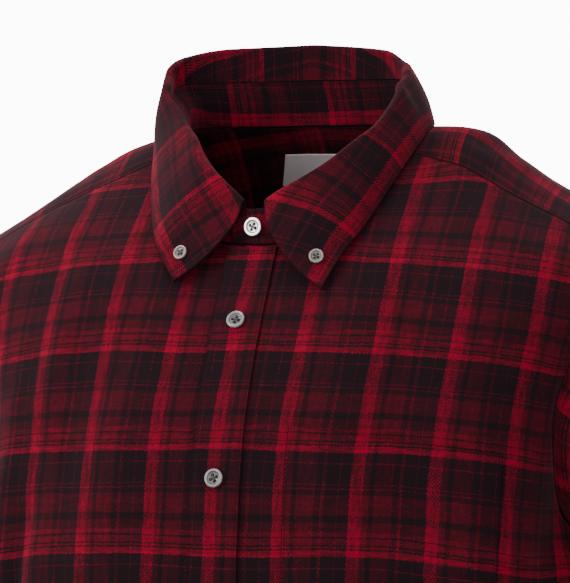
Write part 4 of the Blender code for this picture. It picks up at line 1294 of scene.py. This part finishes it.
# %% The fronts
ARMHOLE_STEPS, SKIRT_STEPS = 6, 14  # dense rows for each coarse one, beside the armhole and below it
FRONT_ROWS = [ARMHOLE_STEPS] * (len(front_left) - 1 - SIDE_ROWS) + [SKIRT_STEPS] * SIDE_ROWS
FRONT_COLUMNS = 5
LEFT_WARP, RIGHT_WARP, PLACKET_WARP = 39.3, -41.8, -1.7  # where a bright bar starts
BAND_LEVEL = -136.3  # level at the centre where a repeat of the weft starts
LEFT_SEED, RIGHT_SEED, BACK_SEED, YOKE_SEED, SLEEVE_SEED = 3, 11, 5, 7, 13  # each uneven in its own way
FRONT_WEFT = float(fall_of(-1)(BAND_LEVEL))


def worn(cloth, seed):
    """A panel as it is worn: folded, uneven, its threads wandering, its edges drawn back from the seams."""
    return seamed(wandering(folded(cloth.raised(uneven(cloth, seed)))))


left = worn(Cloth(laid(front_left, LEFT_WARP, FRONT_WEFT), FRONT_ROWS, FRONT_COLUMNS), LEFT_SEED)
right = worn(Cloth(laid(front_right, RIGHT_WARP, FRONT_WEFT), FRONT_ROWS, FRONT_COLUMNS), RIGHT_SEED)
for side, cloth, side_edge in (("left", left, "last"), ("right", right, "first")):
    front_piece = cloth_object(f"front_{side}_cloth", cloth, CLOTH, ("top", side_edge))
    dress(front_piece, SEAMED_FLANNEL, f"front_{side}")

# %% The back and the yoke
BACK_ROWS = [ARMHOLE_STEPS] * (len(back) - 1 - SIDE_ROWS) + [SKIRT_STEPS] * SIDE_ROWS
BACK_COLUMNS = 10
YOKE_ROWS, YOKE_COLUMNS = 7, 8
BACK_WARP = -3.7
BACK_WEFT = float(fall_of(1)(BAND_LEVEL))
YOKE_WARP, YOKE_WEFT = 0.0, 0.0

back_cloth = worn(Cloth(laid(back, BACK_WARP, BACK_WEFT), BACK_ROWS, BACK_COLUMNS), BACK_SEED)
yoke_turned = yoke[..., [0, 1, 2, 4, 3]]  # a yoke is cut with its warp across the shoulders
yoke_cloth = worn(Cloth(laid(yoke_turned, YOKE_WARP, YOKE_WEFT), YOKE_ROWS, YOKE_COLUMNS), YOKE_SEED)
back_piece = cloth_object("back_cloth", back_cloth, CLOTH, ("top",))
dress(back_piece, SEAMED_FLANNEL, "back")
yoke_piece = cloth_object("yoke_cloth", yoke_cloth, CLOTH, ("bottom", "first", "last"))
dress(yoke_piece, SEAMED_FLANNEL, "yoke")  # it lies on the wearer's shoulders

# %% The sleeves and cuffs
SLEEVE_STEPS, SLEEVE_TURN_STEPS = 12, 5
SLEEVE_WARP, SLEEVE_WEFT = 0.0, 20.0
CUFF_STEPS, CUFF_TURN_STEPS = 8, 6

for side, tube, band in (("left", sleeve_left, cuff_left), ("right", sleeve_right, cuff_right)):
    cloth = Cloth(laid(tube, SLEEVE_WARP, SLEEVE_WEFT), SLEEVE_STEPS, SLEEVE_TURN_STEPS, closed=True)
    sleeve_piece = cloth_object(f"sleeve_{side}_cloth", worn(cloth, SLEEVE_SEED), CLOTH, ("top",))
    dress(sleeve_piece, SEAMED_FLANNEL, f"sleeve_{side}")
    cuff_piece = cloth_object(f"cuff_{side}_cloth", Cloth(band, CUFF_STEPS, CUFF_TURN_STEPS), BAND)
    dress(cuff_piece, BAND_FLANNEL, f"cuff_{side}")

# %% The collar
STAND_STEPS, LEAF_STEPS, COLLAR_STEPS = 8, 5, 5
STAND_WARP, STAND_WEFT = 0.0, 55.0
LEAF_WARP, LEAF_WEFT = -9.9, -30.0

stand_cloth = wandering(Cloth(laid(stand, STAND_WARP, STAND_WEFT), STAND_STEPS, COLLAR_STEPS))
leaf_cloth = wandering(Cloth(laid(leaf, LEAF_WARP, LEAF_WEFT), LEAF_STEPS, COLLAR_STEPS))
stand_piece = cloth_object("collar_stand_cloth", stand_cloth, BAND, ("top", "bottom"))
dress(stand_piece, BAND_FLANNEL, "collar_stand")
leaf_piece = cloth_object("collar_leaf_cloth", leaf_cloth, BAND, ("top", "first", "last"))
dress(leaf_piece, BAND_FLANNEL, "collar_leaf")

# %% [markdown]
# ## Placket, pocket and label
#
# These three lie flat on another panel. A shrinkwrap modifier could press them onto it, but the panel is a
# grid, so each is simply cut from the panel's own dense cloth, between two rows and two columns, and moved
# off it by a wall and a hair's breadth. The pocket keeps the front's plaid, as on a well matched shirt, and
# the placket shifts it to put a bright bar down its middle.

# %% The placket, the pocket and the label
# rows and columns of the coarse grids
PLACKET_TOP_ROW = 0.12
POCKET_COLUMNS, POCKET_ROWS = (3, 3 + POCKET_STEPS), (6.45, 13.4)
LABEL_COLUMNS, LABEL_ROWS = (10.35, 13.65), (1.3, 2.9)
ABOVE = CLOTH + SEAM  # from the middle of one wall to that of the next

placket = left.part((PLACKET_TOP_ROW, len(front_left) - 1), (0, PLACKET_COLUMNS)).raised(ABOVE)
placket.threads = placket.threads + np.array([LEFT_WARP - PLACKET_WARP, 0]) * MM
pocket = left.part(POCKET_ROWS, POCKET_COLUMNS).raised(ABOVE)
label = yoke_cloth.part(LABEL_ROWS, LABEL_COLUMNS).raised(-ABOVE)
placket_piece = cloth_object("placket_cloth", placket, CLOTH, ("first", "last"))
dress(placket_piece, SEAMED_FLANNEL, "placket")
pocket_piece = cloth_object("pocket_cloth", pocket, CLOTH, ("first", "last", "bottom"))
dress(pocket_piece, SEAMED_FLANNEL, "pocket")


def label_weave():
    """A blank label of fine satin, a little uneven in colour and surface."""
    shine = dict(Specular_IOR_Level=0.3, Sheen_Weight=0.1)
    made, tree, surface = new_material("label_satin", roughness=0.55, **shine)
    threads = speckle(tree, scale=900.0, detail=2.0)
    colour = mixed(tree, threads, srgb(184, 172, 175), srgb(212, 200, 203))
    bump = add_node(tree, "ShaderNodeBump", {"Strength": 0.4, "Distance": 0.2 * MM, "Height": threads})
    tree.links.new(bump.outputs[0], surface.inputs["Normal"])
    tree.links.new(colour, surface.inputs["Base Color"])
    return made


dress(cloth_object("label_cloth", label, CLOTH), label_weave(), "label")

# %% [markdown]
# ## Buttons
#
# A shirt button is turned like a small plate: a dished face inside a raised rim, with four holes through the
# dish. So half of its section is drawn once and spun. The holes are cut afterwards, and two short stitches
# cross from hole to hole.

# %% Sizes of the buttons
BUTTON_TURNED = (  # half of the section, as parts of the radius and of the height
    (0.0, 0.5),
    (0.56, 0.5),
    (0.64, 0.56),
    (0.69, 0.8),
    (0.75, 0.97),
    (0.84, 1.0),
    (0.93, 0.92),
    (0.99, 0.6),
    (0.97, 0.25),
    (0.86, 0.0),
    (0.0, 0.0),
)
SPIN_STEPS, HOLE_STEPS = 40, 12
BUTTON_RADIUS, COLLAR_BUTTON_RADIUS, BUTTON_HEIGHT = 5.65, 4.5, 2.2
HOLE_RADIUS, HOLE_SPREAD = 0.16, 0.23  # parts of the button's radius
BUTTON_DROPS = (45, 135, 225, 315, 405, 495)  # below the front neckline
COLLAR_BUTTON_CUT = 0.18  # part of the leaf's fall from its edge
COLLAR_BUTTON_IN = 1.15  # columns in from the leaf's front edge
CUFF_BUTTON_COLUMN = 0.9  # columns in from the cuff's outer end
DISH_ENDS, RIM_STARTS = 0.58, 0.7  # parts of the button's radius
THREAD_RADIUS, THREAD_STEPS, THREAD_SIDES = 0.065, 12, 8  # part of the button's radius, and facets
THREAD_ARCH, THREAD_FOOT = 0.5, 0.5  # how flat its half circle is, and how far up the button it starts
STAND_TURN, PLACKET_TURN, COLLAR_TURN = 20, 35, 10  # degrees by which the sewn-on buttons are turned
SPIN_WELD = 0.001  # points closer than this are one, on the spun body's axis

# %% A turned button with four holes
def spun(profile, steps):
    """A body spun about Z from (radius, height) points in metres."""
    built = bmesh.new()
    line = [built.verts.new((radius, 0, height)) for radius, height in profile]
    edges = [built.edges.new(pair) for pair in zip(line, line[1:])]
    turned = dict(cent=(0, 0, 0), axis=(0, 0, 1), angle=2 * math.pi, steps=steps)
    bmesh.ops.spin(built, geom=line + edges, use_merge=True, **turned)
    bmesh.ops.remove_doubles(built, verts=built.verts, dist=SPIN_WELD * MM)
    bmesh.ops.recalc_face_normals(built, faces=built.faces)
    return built


def as_object(name, built, smooth=True):
    for face in built.faces:
        face.smooth = smooth
    mesh = bpy.data.meshes.new(name)
    built.to_mesh(mesh)
    built.free()
    made = bpy.data.objects.new(name, mesh)
    bpy.context.scene.collection.objects.link(made)
    return made


def button_blank(radius, zone_materials):
    """The mesh of one button lying at the origin, its holes cut, and its face, groove and rim given their
    materials: painted shade in the groove and a painted highlight on the rim.
    """
    height = BUTTON_HEIGHT * radius / BUTTON_RADIUS
    profile = [(r * radius * MM, h * height * MM) for r, h in BUTTON_TURNED]
    plate = as_object("plate", spun(profile, SPIN_STEPS))
    drills = bmesh.new()
    spread = radius * HOLE_SPREAD * MM
    for x, y in ((1, 1), (-1, 1), (-1, -1), (1, -1)):
        spot = Matrix.Translation((x * spread, y * spread, height / 2 * MM))
        bmesh.ops.create_cone(
            drills,
            cap_ends=True,
            segments=HOLE_STEPS,
            radius1=radius * HOLE_RADIUS * MM,
            radius2=radius * HOLE_RADIUS * MM,
            depth=3 * height * MM,
            matrix=spot,
        )
    drill = as_object("drill", drills, smooth=False)
    cut = plate.modifiers.new("holes", "BOOLEAN")
    cut.object = drill
    cut.operation = "DIFFERENCE"
    cut.solver = "EXACT"
    bpy.context.view_layer.update()
    mesh = bpy.data.meshes.new_from_object(plate.evaluated_get(bpy.context.evaluated_depsgraph_get()))
    for made in (plate, drill):
        bpy.data.objects.remove(made, do_unlink=True)
    for zone_material in zone_materials:
        mesh.materials.append(zone_material)
    # the groove's material carries painted shade and the rim's a painted highlight
    zones = (DISH_ENDS * radius * MM, RIM_STARTS * radius * MM)
    for facet in mesh.polygons:
        facet.material_index = sum(facet.center.xy.length > start for start in zones)
    return mesh


# %% Stitches through the holes
def button_thread(radius):
    """Two crossed stitches whose ends go down into the holes."""
    height = BUTTON_HEIGHT * radius / BUTTON_RADIUS * MM
    thick = THREAD_RADIUS * radius * MM
    reach = HOLE_SPREAD * math.sqrt(2) * radius * MM
    built = bmesh.new()
    for turn in (math.pi / 4, -math.pi / 4):
        start = Matrix.Translation((reach, 0, 0))
        ring = bmesh.ops.create_circle(built, segments=THREAD_SIDES, radius=thick, matrix=start)["verts"]
        edges = list(dict.fromkeys(edge for vertex in ring for edge in vertex.link_edges))
        arched = dict(cent=(0, 0, 0), axis=(0, -1, 0), angle=math.pi, steps=THREAD_STEPS)
        bmesh.ops.spin(built, geom=ring + edges, use_merge=False, **arched)
        verts = [vertex for vertex in built.verts if not vertex.tag]
        bmesh.ops.scale(built, vec=(1, 1, THREAD_ARCH), verts=verts)
        bmesh.ops.translate(built, vec=(0, 0, THREAD_FOOT * height), verts=verts)
        bmesh.ops.rotate(built, cent=(0, 0, 0), matrix=Matrix.Rotation(turn, 3, "Z"), verts=verts)
        for vertex in verts:
            vertex.tag = True
    bmesh.ops.holes_fill(built, edges=built.edges)
    bmesh.ops.recalc_face_normals(built, faces=built.faces)
    return built


# %% [markdown]
# ## Pearl and thread
#
# The buttons are polished plastic that imitates shell: cloudy, with a clear gloss over it. One material could
# colour the whole button by its height, but the dish, the groove round it and the rim each get one of their
# own, with light and shade painted into their colours: painted shade in the groove and a painted highlight on
# the rim. The thread is dull and nearly black.

# %% Button materials, with painted shade and highlights
def pearl(name, dull, bright, roughness, metallic=0.0):
    """Polished shell-like plastic with slow cloudy streaks."""
    gloss = dict(Coat_Weight=0.35, Coat_Roughness=0.12)
    made, tree, surface = new_material(name, roughness, Metallic=metallic, **gloss)
    streaks = speckle(tree, scale=420.0, detail=4.0, Distortion=1.5)
    clouds = ramp(tree, streaks, ((0.35, 0.0), (0.65, 1.0)), smooth=True)
    colour = mixed(tree, clouds, dull, bright)
    tree.links.new(colour, surface.inputs["Base Color"])
    return made


# Face, groove and rim of each kind: name, dull and bright colour, roughness, and how metallic it is. The
# groove's darker colours are painted shade, and the rim's lighter ones a painted highlight
STAND_PEARL = (
    pearl("pearl_white_face", srgb(170, 168, 168), srgb(240, 239, 239), 0.3, 0.5),
    pearl("pearl_white_groove_painted_shade", srgb(96, 90, 90), srgb(130, 124, 124), 0.4),
    pearl("pearl_white_rim_painted_highlight", srgb(244, 243, 243), srgb(252, 252, 252), 0.35, 0.8),
)
GREY_PEARL = (
    pearl("pearl_grey_face", srgb(34, 33, 32), srgb(66, 64, 62), 0.35),
    pearl("pearl_grey_groove_painted_shade", srgb(24, 22, 22), srgb(40, 37, 36), 0.4),
    pearl("pearl_grey_rim_painted_highlight", srgb(96, 93, 90), srgb(134, 131, 127), 0.3),
)
BEIGE_PEARL = (
    pearl("pearl_beige_face", srgb(54, 46, 42), srgb(88, 78, 70), 0.3),
    pearl("pearl_beige_groove_painted_shade", srgb(30, 24, 21), srgb(46, 38, 33), 0.4),
    pearl("pearl_beige_rim_painted_highlight", srgb(98, 86, 77), srgb(136, 122, 110), 0.25),
)
thread_dark, thread_tree, thread_surface = new_material("thread_dark", roughness=0.8, Sheen_Weight=0.3)
thread_fibres = speckle(thread_tree, scale=2500.0, detail=2.0)
thread_colour = mixed(thread_tree, thread_fibres, srgb(16, 11, 13), srgb(44, 26, 30))
thread_tree.links.new(thread_colour, thread_surface.inputs["Base Color"])

# %% Putting a button on
def put_button(name, node, point, normal, radius, zone_materials, turn=0.0):
    """A button and its thread at a point, facing along a direction and turned by some degrees."""
    facing = Vector(normal).to_track_quat("Z", "Y").to_matrix().to_4x4()
    place = Matrix.Translation(Vector(point * MM)) @ facing @ Matrix.Rotation(math.radians(turn), 4, "Z")
    mesh = button_blank(radius, zone_materials)
    mesh.name = name
    mesh.transform(place)
    piece = bpy.data.objects.new(name, mesh)
    bpy.context.scene.collection.objects.link(piece)
    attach(piece, "root")
    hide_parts(node)
    stitches = button_thread(radius)
    bmesh.ops.transform(stitches, matrix=place, verts=stitches.verts)
    stitches = as_object(f"{name}_thread", stitches)
    stitches.data.materials.append(thread_dark)
    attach(stitches, "root")


SPOT = 0.02  # rows and columns of the tiny part that stands for a point


def spot_on(cloth, row, column, lift, side=1):
    """A point above a place of the cloth, by its coarse row and column, and the direction it faces."""
    small = cloth.part((row, row + SPOT), (column, column + SPOT))
    way = small.outward[0, 0] * side
    return small.points[0, 0] + way * lift, way


def row_at(cloth, column, level):
    """Coarse row at which a column of the cloth passes a level."""
    k = int(np.argmin(np.abs(cloth.columns - column)))
    return float(np.interp(-level, -cloth.points[:, k, 2], cloth.rows))


# %% Buttons in their places
spot = spot_on(stand_cloth, STAND_ROWS / 2, 1, BAND / 2 + SEAM)
put_button("stand_button", "button_stand", *spot, BUTTON_RADIUS, STAND_PEARL, STAND_TURN)
for number, drop in enumerate(BUTTON_DROPS, 1):
    row = row_at(left, 1, front_left[0, 1, 2] - drop)
    spot = spot_on(left, row, 1, CLOTH / 2 + ABOVE + SEAM)
    turn = PLACKET_TURN * number
    put_button(f"placket_button_{number}", f"button_{number}", *spot, BUTTON_RADIUS, GREY_PEARL, turn)
fall = LEAF_FALL_STEPS * COLLAR_BUTTON_CUT
for side, column in (("left", COLLAR_BUTTON_IN), ("right", len(leaf_runs) - 1 - COLLAR_BUTTON_IN)):
    spot = spot_on(leaf_cloth, fall, column, BAND / 2 + 2 * SEAM, side=-1)  # its rows run upwards
    sewn_on = (COLLAR_BUTTON_RADIUS, BEIGE_PEARL, COLLAR_TURN)
    put_button(f"collar_button_{side}", f"button_collar_{side}", *spot, *sewn_on)
for side, grid in (("left", cuff_left), ("right", cuff_right)):
    cloth = Cloth(grid, CUFF_STEPS, CUFF_TURN_STEPS)
    column = CUFF_BUTTON_COLUMN if side == "left" else CUFF_POINTS - CUFF_BUTTON_COLUMN
    spot = spot_on(cloth, CUFF_ROWS / 2, column, BAND / 2 + SEAM)
    put_button(f"cuff_button_{side}", f"button_cuff_{side}", *spot, BUTTON_RADIUS, GREY_PEARL)

# %% [markdown]
# ## Floor, light and camera
#
# A long lens from far away keeps the shirt's proportions, and large soft lights on a white ground show the
# folds without hard shadows. The backdrop has to look pure white while the cloth stays deep and dark, so the
# world's light asks what kind of ray meets it: it is bright for the camera, less so for a polished surface's
# reflection, and weakest where it lights the cloth.

# %% Floor
FLOOR_HALF, FLOOR_GAP = 0.9, 0.004  # in metres
floor_mesh = bmesh.new()
bmesh.ops.create_grid(floor_mesh, x_segments=1, y_segments=1, size=FLOOR_HALF)
bmesh.ops.translate(floor_mesh, vec=(0, 0, cad_box[0][2] - FLOOR_GAP), verts=floor_mesh.verts)
floor = as_object("floor", floor_mesh, smooth=False)
floor_pale = new_material("floor_pale", roughness=0.9, Base_Color=(0.8, 0.8, 0.8, 1))[0]
floor.data.materials.append(floor_pale)

# %% Light
STUDIO_LIGHT = 0.75  # from all around
BACKDROP_GLOW, BACKDROP_SHINE = 11.0, 2.5  # what it adds for the camera, and in polished things
world = bpy.data.worlds.new("white_studio")
world.use_nodes = True
backdrop = world.node_tree.nodes["Background"]
backdrop.inputs["Color"].default_value = (1, 1, 1, 1)
rays = add_node(world.node_tree, "ShaderNodeLightPath").outputs
strength = maths(world.node_tree, "MULTIPLY_ADD", rays["Is Glossy Ray"], BACKDROP_SHINE, STUDIO_LIGHT)
strength = maths(world.node_tree, "MULTIPLY_ADD", rays["Is Camera Ray"], BACKDROP_GLOW, strength)
world.node_tree.links.new(strength, backdrop.inputs["Strength"])
bpy.context.scene.world = world

# name, place, size, power
LIGHTS = (
    ("key", (-1.9, -1.9, 1.0), 1.5, 60),
    ("fill", (1.2, -2.4, 0.4), 2.0, 12),
    ("top", (-0.3, 0.2, 1.9), 1.4, 24),
)
AIM = Vector((0, -0.03, -0.15))  # where all the lamps point
for name, place, size, power in LIGHTS:
    light = bpy.data.lights.new(name, "AREA")
    light.size, light.energy = size, power
    lamp = bpy.data.objects.new(name, light)
    lamp.location = place
    lamp.rotation_euler = (AIM - Vector(place)).to_track_quat("-Z", "Y").to_euler()
    bpy.context.scene.collection.objects.link(lamp)

# %% Camera
IMAGE_WIDTH, IMAGE_HEIGHT = 570, 583
AZIMUTH, ELEVATION, ROLL = math.radians(20.4), math.radians(0.3), math.radians(-0.3)
DISTANCE, FOCAL_PIXELS = 2.6, 4342.8  # in metres, and the lens as the image measures it
CENTRE_X, CENTRE_Y = 276.5, 274.0  # where the middle of the collar falls in the image
TARGET = Vector((0, -0.040, -0.090))

forward = Vector(
    (-math.sin(AZIMUTH) * math.cos(ELEVATION), math.cos(AZIMUTH) * math.cos(ELEVATION), -math.sin(ELEVATION))
)
to_right = Vector((math.cos(AZIMUTH), math.sin(AZIMUTH), 0))
upwards = to_right.cross(forward)
pixel = DISTANCE / FOCAL_PIXELS  # its size at the shirt, in metres
across = (IMAGE_WIDTH / 2 - CENTRE_X) * pixel
above = (CENTRE_Y - IMAGE_HEIGHT / 2) * pixel
rolled_right = to_right * math.cos(ROLL) + upwards * math.sin(ROLL)
rolled_up = upwards * math.cos(ROLL) - to_right * math.sin(ROLL)
lens = bpy.data.cameras.new("camera")
lens.sensor_width = 36
lens.lens = FOCAL_PIXELS / IMAGE_HEIGHT * lens.sensor_width  # the sensor spans the longer side
lens.clip_end = 20
camera = bpy.data.objects.new("camera", lens)
place = TARGET - forward * DISTANCE + rolled_right * across + rolled_up * above
turn = Matrix((rolled_right, rolled_up, -forward)).transposed().to_4x4()
camera.matrix_world = Matrix.Translation(place) @ turn
bpy.context.scene.collection.objects.link(camera)
bpy.context.scene.camera = camera
